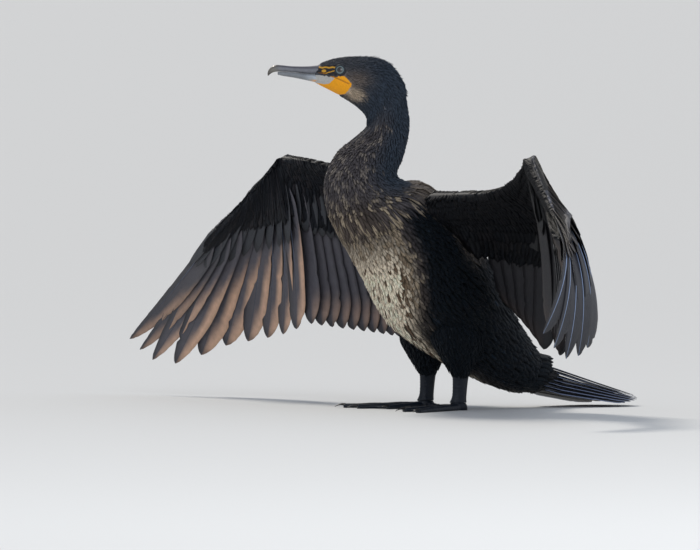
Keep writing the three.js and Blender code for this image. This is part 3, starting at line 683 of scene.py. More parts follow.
def long_feathers(name, feathers, stations, tints, uv_columns, mirror=False, splits=True):
    """A piece of long feathers; tints(feather, along 0..1, across -1..1, top) gives their colours."""
    shape = Shape()
    s = 1 - (1 - np.linspace(0, 1, stations)) ** 1.35
    cols = len(VANE_ACROSS)
    faces = slab_faces(stations, cols)
    uv_rows = math.ceil(len(feathers) / uv_columns)
    for index, q in enumerate(feathers):
        upper = unit(q["face"] - q["along"] * (q["face"] @ q["along"]))
        out = unit(np.cross(q["along"], upper))
        turned = out * math.cos(q["tilt"]) + upper * math.sin(q["tilt"])
        normal = upper * math.cos(q["tilt"]) - out * math.sin(q["tilt"])
        length, width, share = q["length"], q["width"], q["share"]
        fill = 0.3 + 0.7 * smooth(0.0, 0.22, s)
        tip = np.clip((s - q["blunt"]) / (1 - q["blunt"]), 0, 1)
        outer = share * width * fill * np.clip(1 - tip ** 2.4, 0.001, 1) ** 0.6
        inner = (1 - share) * width * fill * np.clip(1 - tip ** 1.8, 0.001, 1) ** 0.75
        middle = (q["root"] + q["along"] * (length * s)[:, None]
                  + upper * (length * q["arch"] * 4 * s * (1 - s))[:, None])
        if splits:
            ragged = rng.normal(0, 0.006, (2, stations)) * width
            for _ in range(rng.integers(1, 4)):
                spot = rng.integers(stations // 3, stations - 2)
                ragged[rng.integers(0, 2), spot] -= rng.uniform(0.02, 0.08) * width
            outer = np.maximum(outer + ragged[0] * smooth(0.15, 0.4, s), 0.2)
            inner = np.maximum(inner + ragged[1] * smooth(0.15, 0.4, s), 0.2)
        across = np.where(VANE_ACROSS > 0, outer[:, None], inner[:, None]) * VANE_ACROSS
        droop = VANE_CAMBER * np.abs(across) ** 1.5 / math.sqrt(width)
        half = 0.5 * VANE_THICKNESS * (1 - 0.45 * np.abs(VANE_ACROSS))[None, :, None]
        surface = middle[:, None] + turned * across[..., None] - normal * droop[..., None]
        both = np.concatenate([surface + normal * half, surface - normal * half])
        along = np.repeat(s, cols)
        side = np.tile(VANE_ACROSS, stations)
        colour = np.concatenate([tints(q, along, side, True), tints(q, along, side, False)])
        vane = np.stack([along * length, across.ravel(), np.full(len(along), rng.uniform())], axis=1)
        u = (index % uv_columns + 0.08) / uv_columns + (side + 1) * 0.2 / uv_columns
        v = (index // uv_columns + 0.03) / uv_rows + along * (0.92 / uv_rows)
        uv = np.stack([u, v], axis=1)
        both_uv = np.concatenate([uv, uv + [0.45 / uv_columns, 0]])
        shape.add(both, [faces], colour, np.tile(vane, (2, 1)), both_uv)
        add_shaft(shape, q, s, middle, turned, normal, uv[:1])
    return shape.build(name, FLIGHT, "flight_feathers", mirror)


def add_shaft(shape, q, s, middle, turned, normal, uv):
    radius = q["shaft"] * (1 - 0.86 * s ** 0.8)
    angle = circle(SHAFT_SIDES)
    ring = turned * np.cos(angle)[:, None] * 0.8 + normal * np.sin(angle)[:, None] * 1.15
    points, faces = loft(middle[:, None] + ring[None] * radius[:, None, None] + normal * 0.05)
    top = np.tile(np.sin(angle) > 0, len(s))
    tint = np.where(top[:, None], q["shaft_top"], q["shaft_under"])
    tint = np.concatenate([tint, q["shaft_top"][None], q["shaft_top"][None]])
    shape.add(points, faces, tint, None, np.repeat(uv, len(points), axis=0))


def covert_of(q, share, lift, width, over):
    """A covert that lies over or under the first part of its flight feather, raised off it."""
    upper = unit(q["face"] - q["along"] * (q["face"] @ q["along"]))
    start = q["root"] + upper * lift * 0.35
    end = (q["root"] + q["along"] * q["length"] * share
           + upper * (q["length"] * q["arch"] * 4 * share * (1 - share) + lift * 1.2))
    chord = end - start
    return {**q, "root": start, "along": unit(chord), "length": np.linalg.norm(chord),
            "arch": q["arch"] * share, "width": width, "share": 0.46, "blunt": 0.62 if over else 0.5,
            "shaft": 0.4, "shaft_top": SHAFT_DARK * 1.4, "over": over}


FLIGHT_UNDER = srgb(84, 82, 90)
# The dark edge colour darkens the tips, and it is also painted shade where the next feather overlaps the
# outer web. The warm colour is painted light: sun shining through a single web from behind.
FLIGHT_UNDER_EDGE = srgb(36, 36, 42)
PAINTED_BACKLIGHT_WEB = srgb(214, 174, 146)
FLIGHT_TOP = srgb(44, 42, 44)
HAND_TOP = srgb(38, 38, 45)
HAND_TOP_EDGE = srgb(22, 22, 28)
COVERT_UNDER = srgb(50, 53, 60)
COVERT_UNDER_EDGE = srgb(22, 24, 29)
COVERT_TOP = srgb(66, 62, 62)
COVERT_TOP_EDGE = srgb(128, 118, 108)
# The hand coverts' own pale-edged pattern, made lighter and bluer by painted sky reflection.
HAND_COVERT_WITH_PAINTED_REFLECTION = srgb(88, 90, 99)
HAND_COVERT_EDGE_WITH_PAINTED_REFLECTION = srgb(166, 163, 164)
LESSER_UNDER = srgb(18, 22, 30)
LESSER_UNDER_WARM = srgb(34, 33, 38)
# Painted shade: factors that darken the near wing's underside, its feathers, shafts and coverts, as if in
# shadow; the far wing keeps 1.
NEAR_WING_PAINTED_SHADE = 0.22
NEAR_COVERT_PAINTED_SHADE = 0.42
# Painted reflection: blue sky glinting along the hand's glossy shafts.
SHAFT_PAINTED_SKY_GLINT = srgb(158, 178, 214)
SHAFT_DARK = srgb(40, 38, 40)
TAIL_DARK = srgb(20, 22, 27)
TAIL_EDGE = srgb(126, 141, 178)
TAIL_SHAFT = srgb(44, 48, 62)


def flight_tints(shade):
    def tints(q, along, side, top):
        hand = q["kind"] == "primary"
        if top:
            base = HAND_TOP if hand else FLIGHT_TOP
            colour = mix(base, HAND_TOP_EDGE, smooth(0.55, 1.0, np.abs(side)) * 0.8)
            return mix(colour, colour * 0.7, smooth(0.75, 1, along))
        # Underside: the outer web darkens as painted shade where the next feather overlaps it. The inner
        # web turns warm as painted light shining through it from behind, less so on the near wing.
        colour = mix(FLIGHT_UNDER, FLIGHT_UNDER_EDGE, smooth(0.35, 0.95, side))
        start = 0.72 - 0.5 * smooth(0.35, 0.95, along)
        warm = np.clip((-side - start) / 0.16, 0, 1)
        reach = smooth(0.3, 0.5, along) if hand else smooth(0.75, 0.97, along) * 0.55
        strength = 0.75 if hand and q["number"] > 7 else 0.95
        colour = mix(colour, PAINTED_BACKLIGHT_WEB, warm * reach * strength * (1.0 if shade > 0.8 else 0.35))
        colour = mix(colour, FLIGHT_UNDER_EDGE, smooth(0.92, 1.0, along) * 0.8)
        if hand and q["number"] > 8:
            colour = colour * 0.7
        # Painted shade: the near wing's feathers are darkened as if in shadow.
        return colour * shade
    return tints


def covert_tints(shade):
    def tints(q, along, side, top):
        if q["over"]:
            colour = mix(COVERT_TOP, COVERT_TOP_EDGE, smooth(0.6, 1, np.abs(side)) * 0.45)
            return mix(colour, COVERT_TOP * 0.6, smooth(0.8, 1, along) * 0.6)
        colour = mix(COVERT_UNDER, COVERT_UNDER_EDGE, smooth(0.5, 1.0, side))
        colour = mix(colour, COVERT_UNDER_EDGE, smooth(0.8, 1.0, along) * 0.85)
        # Painted shade: the near wing's under coverts are darkened as if in shadow.
        return colour * shade
    return tints


def tail_tints(q, along, side, top):
    colour = mix(TAIL_DARK, TAIL_EDGE, smooth(0.66, 0.98, side * q["outside"]) * (0.9 if top else 0.4))
    return mix(colour, TAIL_DARK, smooth(0.92, 1, along) * 0.5)


# Materials
BARB_SPACING = 0.8
BARB_SLANT = 1.1


def add_node(tree, kind, inputs, **settings):
    """A shader node; each input is set to a value, or linked where it is given a socket."""
    made = tree.nodes.new(f"ShaderNode{kind}")
    for key, value in settings.items():
        setattr(made, key, value)
    for socket, value in inputs.items():
        if isinstance(value, bpy.types.NodeSocket):
            tree.links.new(value, made.inputs[socket])
        else:
            made.inputs[socket].default_value = value
    return made


def calculated(tree, operation, *values):
    return add_node(tree, "Math", dict(enumerate(values)), operation=operation).outputs[0]


def material(name, roughness, bump_height=0.0, pattern="barbs", specular=0.35, sheen=0.0, coat=0.0,
             variation=0.18, scale=350.0):
    """A finish with the mesh's own colours, varied by noise, and a fine relief."""
    made = bpy.data.materials.new(name)
    made.use_nodes = True
    tree = made.node_tree
    shader = tree.nodes["Principled BSDF"]
    finish = {"Roughness": roughness, "Specular IOR Level": specular, "Sheen Weight": sheen,
              "Sheen Roughness": 0.4, "Coat Weight": coat, "Coat Roughness": 0.12}
    for socket, value in finish.items():
        shader.inputs[socket].default_value = value
    where = add_node(tree, "TexCoord", {}).outputs["Object"]
    noise = add_node(tree, "TexNoise", {"Scale": scale, "Detail": 3, "Vector": where}).outputs["Fac"]
    span = add_node(tree, "MapRange", {"From Min": 0.3, "From Max": 0.7, "To Min": 1 - variation,
                                       "To Max": 1 + variation, "Value": noise}).outputs["Result"]
    tint = add_node(tree, "Attribute", {}, attribute_name="tint").outputs["Color"]
    shaded = add_node(tree, "VectorMath", {0: tint, "Scale": span}, operation="SCALE").outputs["Vector"]
    tree.links.new(shaded, shader.inputs["Base Color"])
    if not bump_height:
        return made
    height = noise
    if pattern == "barbs":
        vane = add_node(tree, "Attribute", {}, attribute_name="vane").outputs["Vector"]
        parts = add_node(tree, "SeparateXYZ", {"Vector": vane}).outputs
        slant = calculated(tree, "MULTIPLY", calculated(tree, "ABSOLUTE", parts["Y"]), BARB_SLANT)
        run = calculated(tree, "SUBTRACT", parts["X"], slant)
        height = calculated(tree, "SINE", calculated(tree, "MULTIPLY", run, 2 * math.pi / BARB_SPACING))
    elif pattern == "scales":
        height = add_node(tree, "TexVoronoi", {"Scale": scale, "Vector": where}).outputs["Distance"]
    bump = add_node(tree, "Bump", {"Distance": bump_height, "Strength": 0.7, "Height": height})
    tree.links.new(bump.outputs["Normal"], shader.inputs["Normal"])
    return made


PLUMAGE = material("plumage", 0.6, 0.00012, specular=0.16, sheen=0.02, variation=0.2)
WING_COAT = material("wing_plumage", 0.55, 0.00012, specular=0.22, variation=0.16)
FLIGHT = material("flight_feather", 0.42, 0.00008, specular=0.5, variation=0.1, scale=160)
SKIN = material("skin", 0.6, 0.00015, pattern="noise", variation=0.12, scale=900)
HORN = material("horn", 0.34, 0.00008, pattern="noise", specular=0.5, coat=0.25, variation=0.1, scale=260)
EYE = material("eye", 0.06, specular=0.6, coat=1.0, variation=0.05, scale=900)
LID = material("lid", 0.5, 0.0002, pattern="scales", variation=0.2, scale=1600)
LEG = material("leg_scales", 0.42, 0.0004, pattern="scales", specular=0.35, variation=0.25, scale=420)
CLAW = material("claw", 0.3, 0.00006, pattern="noise", specular=0.5, variation=0.12, scale=500)


# Skin: one mesh over body, thighs, tail root and wing cores
BARE_DEPTH = 0.3
WING_INSET = 1.2
WING_STATIONS = np.array([0.0, 0.04, 0.12, 0.25, 0.4, 0.6, 0.8, 1.0]) + 0.02
coloured_points = []


def parameter_grid(a_values, sides):
    """Places along and around a surface, ring by ring."""
    return np.repeat(a_values, sides), np.tile(circle(sides), len(a_values))


def body_skin(shape):
    a_values = np.linspace(0, RUMP_END, 260)
    sides = 120
    a, b = parameter_grid(a_values, sides)
    outside = body_point(a, b)
    bare_here, bare_tint = bare(outside)
    near_face = bare_here & (a < FACE_END)
    depth = np.where(near_face, BARE_DEPTH, coat_depth(a))
    points = outside - outward(body_point, a, b) * depth[:, None]
    centre, _, fleck, chance = zones(a, b, outside)
    tints = centre * 0.85 + fleck * 0.15 * chance[:, None]
    tints[near_face] = bare_tint[near_face]
    coloured_points.append((points, tints))
    shape.add_rings(points.reshape(len(a_values), sides, 3), (0, 0, 0))


def plain_skin(shape, point, depth, tint):
    a_values = np.linspace(0, 4, 24)
    sides = 48
    a, b = parameter_grid(a_values, sides)
    points = point(a, b, -depth)
    coloured_points.append((points, np.tile(tint, (len(points), 1))))
    shape.add_rings(points.reshape(len(a_values), sides, 3), (0, 0, 0))


def wing_skin(shape, table, mirror):
    rings = []
    for b in np.arange(0, len(table) - 0.4, 0.5):
        place = np.full(len(WING_STATIONS), b)
        top = wing_point(table, 1)(WING_STATIONS, place, -WING_INSET)
        under = wing_point(table, -1)(WING_STATIONS[::-1], place, -WING_INSET)
        rings.append(np.concatenate([top, under]))
    rings = np.array(rings) * [1, -1 if mirror else 1, 1]
    points = rings.reshape(-1, 3)
    coloured_points.append((points, np.tile(LESSER_UNDER, (len(points), 1))))
    shape.add_rings(rings, (0, 0, 0))


VOXEL = 2.1
wings = {}
for wing_name in ("left", "right"):
    quills = wing_feathers(wing_name)
    wings[wing_name] = (quills, wing_sections(wing_name, quills))

skin_shape = Shape()
body_skin(skin_shape)
plain_skin(skin_shape, tail_point, 1.5, RUMP)
for leg_side in (1, -1):
    plain_skin(skin_shape, thigh_point(leg_side), 1.6, TEAL_BLACK)
for wing_name, (quills, sections) in wings.items():
    wing_skin(skin_shape, sections, wing_name == "right")
skin = skin_shape.build("skin", SKIN, "plumage_body")
remesh = skin.modifiers.new("remesh", "REMESH")
remesh.mode = "VOXEL"
remesh.voxel_size = VOXEL * MM
remesh.use_smooth_shade = True
relax = skin.modifiers.new("relax", "SMOOTH")
relax.factor = 0.5
relax.iterations = 3
evaluated = skin.evaluated_get(bpy.context.evaluated_depsgraph_get())
fine = bpy.data.meshes.new_from_object(evaluated)
skin.modifiers.clear()

FACE_REACH = 42.0
head_centre = Vector((HEAD_ORIGIN + OFFSET) * MM)
work = bmesh.new()
work.from_mesh(fine)
for _ in range(2):
    near_faces = [f for f in work.faces if (head_centre - f.calc_center_median()).length < FACE_REACH * MM]
    near_edges = {e for f in near_faces for e in f.edges}
    bmesh.ops.subdivide_edges(work, edges=list(near_edges), cuts=1, use_grid_fill=True)
bmesh.ops.triangulate(work, faces=[f for f in work.faces if len(f.verts) > 4])
work.to_mesh(fine)
work.free()
old_mesh = skin.data
skin.data = fine
bpy.data.meshes.remove(old_mesh)
fine.name = "skin"
points = np.empty(len(fine.vertices) * 3)
fine.vertices.foreach_get("co", points)
points = points.reshape(-1, 3) / MM - OFFSET
known_points, known_tints = (np.concatenate(parts) for parts in zip(*coloured_points))
known = KDTree(len(known_points))
for index, place in enumerate(known_points.tolist()):
    known.insert(place, index)
known.balance()
tints = known_tints[[known.find(p)[1] for p in points.tolist()]]
forward_of_eye, above_eye, aside_of_eye = head_coordinates(points)
face_zone = (forward_of_eye > -16) & (forward_of_eye < 34)
face_zone &= (np.abs(aside_of_eye) < 24) & (np.abs(above_eye) < 32)
bare_here, bare_tint = bare(points)
tints[face_zone & bare_here] = bare_tint[face_zone & bare_here]
groove = np.exp(-(line_distance(MOUTH_LINE, forward_of_eye, above_eye) / 0.8) ** 2) * face_zone
points = points - HEAD_LEFT * (np.sign(aside_of_eye) * groove * 0.8)[:, None]
fine.vertices.foreach_set("co", ((points + OFFSET) * MM).ravel())
set_tint(fine, tints)
fine.attributes.new("vane", "FLOAT_VECTOR", "POINT")
skin_uv = fine.uv_layers.new(name="OFBake")
vertex_of_loop = np.empty(len(fine.loops), int)
fine.loops.foreach_get("vertex_index", vertex_of_loop)
flat = np.stack([(points[:, 1] + 560) / 1120, (points[:, 2] + 0.4 * points[:, 0] + 60) / 520], axis=1)
skin_uv.data.foreach_set("uv", np.clip(flat[vertex_of_loop], 0, 1).ravel())
fine.shade_smooth()
FLESH = ["head", "neck_upper", "neck_lower", "torso", "thigh_left", "thigh_right", "tail", "wing_left",
         "wing_right"]
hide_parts(*FLESH)


# Coat of the body
def by_place(*pairs):
    """A value that changes along a surface, given at some places."""
    places, values = zip(*pairs)
    return lambda a: np.interp(a, places, values)


def body_coat(name, slot, a_range, length, width, gap, tries, ruffle):
    a, b = scatter(body_point, a_range, (0, 2 * np.pi), gap, tries)
    outside = body_point(a, b)
    end = body_point(*walked(body_point, a, b, 0 * a, length(a)))
    keep = ~((bare(outside)[0] | bare(end)[0]) & (a < FACE_END))
    a, b, outside = a[keep], b[keep], outside[keep]
    n = len(a)
    normal = outward(body_point, a, b)
    centre, edge, fleck, chance = zones(a, b, outside)
    level = 0.7 * mottle(outside) + 0.3 * rng.uniform(0, 1, n) - 0.5 + (chance - 0.5) * 1.3
    amount = smooth(-0.1, 0.1, level)
    tone = rng.uniform(0.86, 1.14, n)[:, None]
    centre = mix(centre, fleck, amount) * tone
    edge = mix(edge, fleck, amount) * tone
    long = length(a) * rng.uniform(0.85, 1.15, n)
    wide = width(a) * rng.uniform(0.85, 1.15, n)
    heading = rng.normal(0, 0.13, n)
    depth = coat_depth(a)
    middle, middle_normal, tip, tip_normal, tip_a = walk_over(body_point, a, b, heading, long)
    base = outside - normal * (depth + 0.4)[:, None]
    middle = middle - middle_normal * (0.45 * depth)[:, None]
    nape = smooth(1.6, 2.6, a) * smooth(5.2, 4.2, a) * np.clip(np.cos(b), 0, 1)
    rise = (ruffle + 0.9 * nape) * np.abs(rng.normal(0, 1, n)) - 0.15 * depth
    tip = tip + tip_normal * rise[:, None]
    past = tip_a > RUMP_END
    backward = unit(np.stack([-np.ones(n), -0.2 * np.sin(b), np.full(n, -0.14)], axis=1))
    tip[past] = (base + backward * long[:, None])[past]
    middle[past] = (base + backward * long[:, None] * 0.5 + normal)[past]
    shape = Shape()
    leaves(shape, base, middle, tip, normal, wide, centre, edge, edge * 1.05, root_uv(a, b, a_range))
    shape.build(name, PLUMAGE, slot)


body_coat("coat_head", "plumage_head", (0.1, 4.3), by_place((0, 3.2), (1.5, 4.6), (4.3, 8)),
          by_place((0, 1.3), (1.5, 1.8), (4.3, 2.6)),
          by_place((0, 1.15), (1.5, 1.5), (4.3, 1.9)), 60000, 0.25)
body_coat("coat_neck", "plumage_neck", (4.0, 8.6), by_place((4, 7), (6.5, 8), (8.6, 10)),
          by_place((4, 2.2), (6.5, 2.5), (8.6, 3.2)),
          by_place((4, 1.7), (6.5, 1.9), (8.6, 2.3)), 90000, 0.5)
body_coat("coat_breast", "plumage_body", (8.3, 11.6), by_place((8.3, 11), (11.6, 15)),
          by_place((8.3, 3.3), (11.6, 4.8)), by_place((8.3, 2.4), (11.6, 3.2)), 90000, 0.6)
body_coat("coat_belly", "plumage_body", (11.3, 16), by_place((11.3, 16), (14, 19), (16, 18)),
          by_place((11.3, 4.8), (14, 5.8), (16, 7)), by_place((11.3, 3.3), (16, 3.9)), 80000, 0.8)

MANTLE_RANGE = (8.7, 11.3)
MANTLE_SIDE = 0.85


def scapulars():
    """Larger pale-edged feathers over the mantle."""
    a, b = scatter(body_point, MANTLE_RANGE, (-MANTLE_SIDE, MANTLE_SIDE), by_place((0, 6.6)), 6000)
    n = len(a)
    normal = outward(body_point, a, b)
    long = np.interp(a, MANTLE_RANGE, [18, 28]) * rng.uniform(0.9, 1.1, n)
    heading = rng.normal(0, 0.08, n) + 0.25 * np.sign(b) * smooth(0.2, 1.0, np.abs(b))
    middle, middle_normal, tip, tip_normal, tip_a = walk_over(body_point, a, b, heading, long)
    swell = 0.8 + 0.8 * np.exp(-((tip_a - 10.2) / 0.6) ** 2) * smooth(0.8, 0.3, np.abs(b))
    tone = rng.uniform(0.8, 1.2, n)[:, None]
    rims = MANTLE_EDGE * tone
    uv = root_uv(a, b, MANTLE_RANGE, (-MANTLE_SIDE, MANTLE_SIDE))
    shape = Shape()
    leaves(shape, body_point(a, b) - normal * 2.5, middle + middle_normal * 0.3,
           tip + tip_normal * swell[:, None],
           normal, np.full(n, 10.5), MANTLE * tone, rims, rims, uv, crown=0.45)
    shape.build("coat_mantle", PLUMAGE, "plumage_body")


scapulars()


def other_coat(name, point, a_range, gap, long, wide, depth, tint, tries, stray, rise, onward, onward_from):
    """The coat of a thigh or the tail's root. Feathers that end past onward_from point onward."""
    a, b = scatter(point, a_range, (0, 2 * np.pi), by_place((0, gap)), tries)
    n = len(a)
    normal = outward(point, a, b)
    length = long(a) * rng.uniform(0.85, 1.15, n)
    heading = rng.normal(0, stray, n)
    middle, middle_normal, tip, _, tip_a = walk_over(point, a, b, heading, length)
    base = point(a, b) - normal * depth
    middle = middle - middle_normal * 0.4 * depth
    tip = tip + normal * rise * rng.uniform(0.2, 1, n)[:, None]
    past = tip_a > onward_from
    way = unit(np.array(onward) - 0.4 * normal)
    tip[past] = (base + way * length[:, None])[past]
    middle[past] = (base + way * length[:, None] * 0.5 + normal * 0.4)[past]
    rows = tint * rng.uniform(0.75, 1.25, n)[:, None]
    shape = Shape()
    leaves(shape, base, middle, tip, normal, np.full(n, wide), rows, rows * 1.25, rows * 1.3,
           root_uv(a, b, a_range))
    shape.build(name, PLUMAGE, "plumage_body")


# The thighs take the flank's dark colour, with its painted shade.
for leg_side, leg_name in ((1, "left"), (-1, "right")):
    other_coat(f"coat_thigh_{leg_name}", thigh_point(leg_side), (0.1, 3.95), 2.7,
               by_place((0, 15), (2.5, 11), (4, 6)),
               3.2, 1.8, FLANK_DARK_AND_PAINTED_SHADE, 20000, 0.2, 0.4, (0, 0, -1), 4.0)
other_coat("coat_tail", tail_point, (0, 1.5), 3.4, by_place((0, 20)), 5.5, 2.0, RUMP, 6000, 0.08, 0.6,
           (-1, 0, -0.2), 3.0)


# Wings: the rows of small coverts are given by place from the front edge to the rear, length and width.
COVERT_ROWS = [
    (0.02, 9, 5.0), (0.07, 10, 5.0), (0.13, 12, 5.5), (0.2, 14, 6), (0.28, 16, 6.5),
    (0.37, 18, 7.5), (0.47, 21, 8.5), (0.58, 25, 10), (0.7, 30, 12),
]
LAST_UNDER_ROW = (0.84, 27, 12)
UPPER_LEAST = 4.9
UNDER_LEAST = 6.1


def wing_coverts(shape, sections, side, shade):
    """Rows of lesser and median coverts, from the front edge back to the greater coverts."""
    upper = side > 0
    point = wing_point(sections, side, UPPER_LEAST if upper else UNDER_LEAST)
    last = len(sections) - 1.0
    places = np.linspace(0, last, 400)
    wrist = TERTIALS + SECONDARIES
    for row, (t, long, wide) in enumerate(COVERT_ROWS if upper else COVERT_ROWS + [LAST_UNDER_ROW]):
        line = point(np.full(len(places), t), places)
        run = np.concatenate([[0], np.cumsum(np.linalg.norm(np.diff(line, axis=0), axis=1))])
        count = int(run[-1] / (wide * 0.48))
        b = np.interp((np.arange(count) + 0.5 * (row % 2) + 0.25) / count * run[-1], run, places)
        a = np.maximum(t + rng.normal(0, 0.012, count), 0.0)
        hand = smooth(wrist + 2, wrist + PRIMARIES + 1, b)
        length = long * (1 - 0.25 * hand) * rng.uniform(0.9, 1.1, count)
        here = point(a, b)
        ahead = point(a + 0.05, b) - here
        aside = point(a, np.minimum(b + 0.05, last)) - point(a, np.maximum(b - 0.05, 0))
        normal = unit(np.cross(aside, unit(ahead))) * side
        speed = np.maximum(np.linalg.norm(ahead, axis=1) / 0.05, 1)
        middle = point(a + 0.5 * length / speed, b) + normal * 0.2
        sway = rng.normal(0, 0.05, count) * length
        tip = point(a + length / speed, b) + normal * 0.8 + unit(aside) * sway[:, None]
        tone = rng.uniform(0.78, 1.22, count)[:, None]
        if upper:
            # Painted shade: the front rows near the leading edge are darkened against the light they catch
            # there.
            front_rows_painted_shade = 0.45 + 0.55 * smooth(0.05, 0.3, t)
            # On the hand the coverts take their pale edges, lightened and blued by painted sky reflection.
            palm = smooth(wrist - 1, wrist + 3, b)
            centre = mix(COVERT_TOP * 0.4 * front_rows_painted_shade, HAND_COVERT_WITH_PAINTED_REFLECTION, palm) * tone
            edge = mix(COVERT_TOP * 0.6 * front_rows_painted_shade, HAND_COVERT_EDGE_WITH_PAINTED_REFLECTION, 0.04 + 0.76 * palm) * tone
        else:
            warm = (rng.uniform(0, 1, count) < 0.2)[:, None]
            # Painted shade darkens the near wing's lesser under coverts.
            centre = np.where(warm, LESSER_UNDER_WARM, LESSER_UNDER) * tone * shade
            edge = centre * 1.25
        uv = np.stack([UV_START + UV_SPAN * b / last, np.full(count, 0.02 + 0.085 * row)], axis=1)
        leaves(shape, here - normal * 1.3, middle, tip, normal, np.full(count, float(wide)), centre, edge,
               edge, uv, crown=0.35)


def alula_tints(q, along, side, top):
    return np.tile(COVERT_UNDER_EDGE, (len(along), 1))


def build_wing(name):
    quills, sections = wings[name]
    mirror = name == "right"
    # Painted shade: the near wing, seen from below, is darkened as if in shadow; the far wing is not.
    shade = 1.0 if mirror else NEAR_WING_PAINTED_SHADE
    coverts = []
    for q in quills:
        hand = q["kind"] == "primary"
        outermost = hand and q["number"] >= OUTER_PRIMARIES_FROM
        q["share"] = 0.22 if outermost else 0.42
        q["shaft"] = 1.45 if hand else 1.0
        q["blunt"] = float(np.interp(q["number"], [3, 6, 8], [0.82, 0.74, 0.45])) if hand else 0.8
        # The hand's shafts on top carry the painted sky glint.
        q["shaft_top"] = SHAFT_PAINTED_SKY_GLINT if hand else SHAFT_DARK * 1.6
        q["shaft_under"] = SHAFT_DARK * shade
        width = 10 if outermost else 20
        under_share = 0.48 - 0.014 * q["number"] if hand else 0.4
        coverts.append(covert_of(q, 0.34 if hand else 0.5, COVERT_LIFT, width, True))
        coverts.append(covert_of(q, under_share, -COVERT_LIFT - 1, width, False))
    long_feathers(f"flight_feathers_{name}", quills, 34, flight_tints(shade), 8, mirror)
    long_feathers(f"greater_coverts_{name}", coverts, 14, covert_tints(shade), 16, mirror, splits=False)
    for side, label in ((1, "upper"), (-1, "under")):
        shape = Shape()
        wing_coverts(shape, sections, side, max(shade, NEAR_COVERT_PAINTED_SHADE))
        shape.build(f"{label}_coverts_{name}", WING_COAT, "flight_feathers", mirror)
    axis, lead = hand_axes(name, quills)
    forward, slant = (3, 0.0) if mirror else (11, 0.1)
    first = quills[TERTIALS + SECONDARIES]
    wrist = np.array(WINGS[name]["wrist"], float)
    thumb = []
    for i in range(3):
        root = wrist + axis * (4 - 3 * i) + lead * forward + first["face"] * (2 + 1.6 * i)
        thumb.append({**first, "root": root, "along": unit(axis + lead * (slant - 0.04 * i)),
                      "length": 72 - 13 * i, "width": 15, "arch": 0.0, "tilt": 0.0, "share": 0.4,
                      "blunt": 0.6, "shaft": 0.6})
    long_feathers(f"alula_{name}", thumb, 16, alula_tints, 3, mirror)


for wing_name in wings:
    build_wing(wing_name)


# Tail
def build_tail():
    feathers = []
    half = TAIL_FEATHERS / 2
    for i in range(TAIL_FEATHERS):
        place = i - half + 0.5
        out = abs(place) / (half - 0.5)
        side = math.copysign(1, place)
        spread = math.radians(TAIL_SPREAD) * place / (half - 0.5)
        drop = TAIL_STEP * (abs(place) - 0.5 + (0 if side > 0 else 0.5))
        fall = math.radians(TAIL_FALL + (OUTER_TAIL_FALL - TAIL_FALL) * out)
        along = unit([-math.cos(spread) * math.cos(fall), math.sin(spread), -math.sin(fall)])
        feathers.append({
            "kind": "tail", "root": TAIL_ROOT + [-2 * out, 3 * place, -drop] - along * TAIL_SOCKET,
            "along": along, "face": np.array([0, 0.35 * out * side, 1]),
            "length": TAIL_LENGTH * (1 - 0.3 * out * out) + TAIL_SOCKET,
            "width": 16, "arch": 0.0, "tilt": 0.0, "share": 0.5, "blunt": 0.7, "shaft": 1.1,
            "shaft_top": TAIL_SHAFT, "shaft_under": SHAFT_DARK, "outside": side,
        })
    long_feathers("tail_feathers", feathers, 28, tail_tints, 7)


build_tail()


# Head: eyes, lids and bill
IRIS = srgb(104, 124, 126)
PUPIL = srgb(8, 10, 12)
EYE_RIM = srgb(24, 30, 32)
IRIS_RADIUS = 4.1
LID_TINT = srgb(44, 50, 56)
LID_STEPS = 48
LID_SIDES = 10


def head_points(forward, up, aside):
    forward, up, aside = (np.asarray(v, float)[..., None] for v in (forward, up, aside))
    return HEAD_ORIGIN + HEAD_FORWARD * forward + HEAD_LEFT * aside + UP * up


def build_eye(side, name):
    out = unit(HEAD_LEFT * side + HEAD_FORWARD * 0.17 + UP * 0.21)
    first = unit(np.cross(out, UP))
    second = np.cross(out, first)
    centre = head_points(0, 0, side * EYE_DEPTH)
    turn = circle(LID_STEPS)
    around = first * np.cos(turn)[:, None] + second * np.sin(turn)[:, None]
    polar = np.radians(np.concatenate([np.linspace(1, 60, 42), np.linspace(66, 179, 16)]))[:, None, None]
    rings = centre + EYE_RADIUS * (out * np.cos(polar) + around * np.sin(polar))
    points, faces = loft(rings)
    r = np.linalg.norm(np.cross(points - centre, out), axis=1)
    streaks = 1 + 0.12 * np.sin(np.tile(turn * 22, len(polar)))
    tint = np.concatenate([np.outer(streaks, IRIS), np.tile(IRIS, (2, 1))])
    tint[r < PUPIL_RADIUS] = PUPIL
    tint[r > IRIS_RADIUS] = EYE_RIM
    shape = Shape()
    shape.add(points, faces, tint)
    eye = shape.build(f"eyeball_{name}", EYE, "eye")
    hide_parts(f"eye_{name}")
    thickness = (LID_THICKNESS * (1 + 0.08 * np.cos(turn * 12)))[:, None]
    angle = circle(LID_SIDES)
    lid = centre + out * LID_LIFT + (LID_RADIUS + thickness * np.cos(angle))[..., None] * around[:, None]
    lid = lid + out * (thickness * np.sin(angle))[..., None]
    i = np.arange(LID_SIDES)
    k = (i + 1) % LID_SIDES
    last = (LID_STEPS - 1) * LID_SIDES
    closing = np.stack([i + last, k + last, k, i], axis=1)
    quads = np.concatenate([grid(LID_STEPS, LID_SIDES, True), closing])
    shape = Shape()
    shape.add(lid, [quads[:, ::-1]], LID_TINT)
    shape.build(f"lid_{name}", LID, "plumage_head")


build_eye(1, "left")
build_eye(-1, "right")


BILL_SIDES = 40
BILL_STEPS = 90


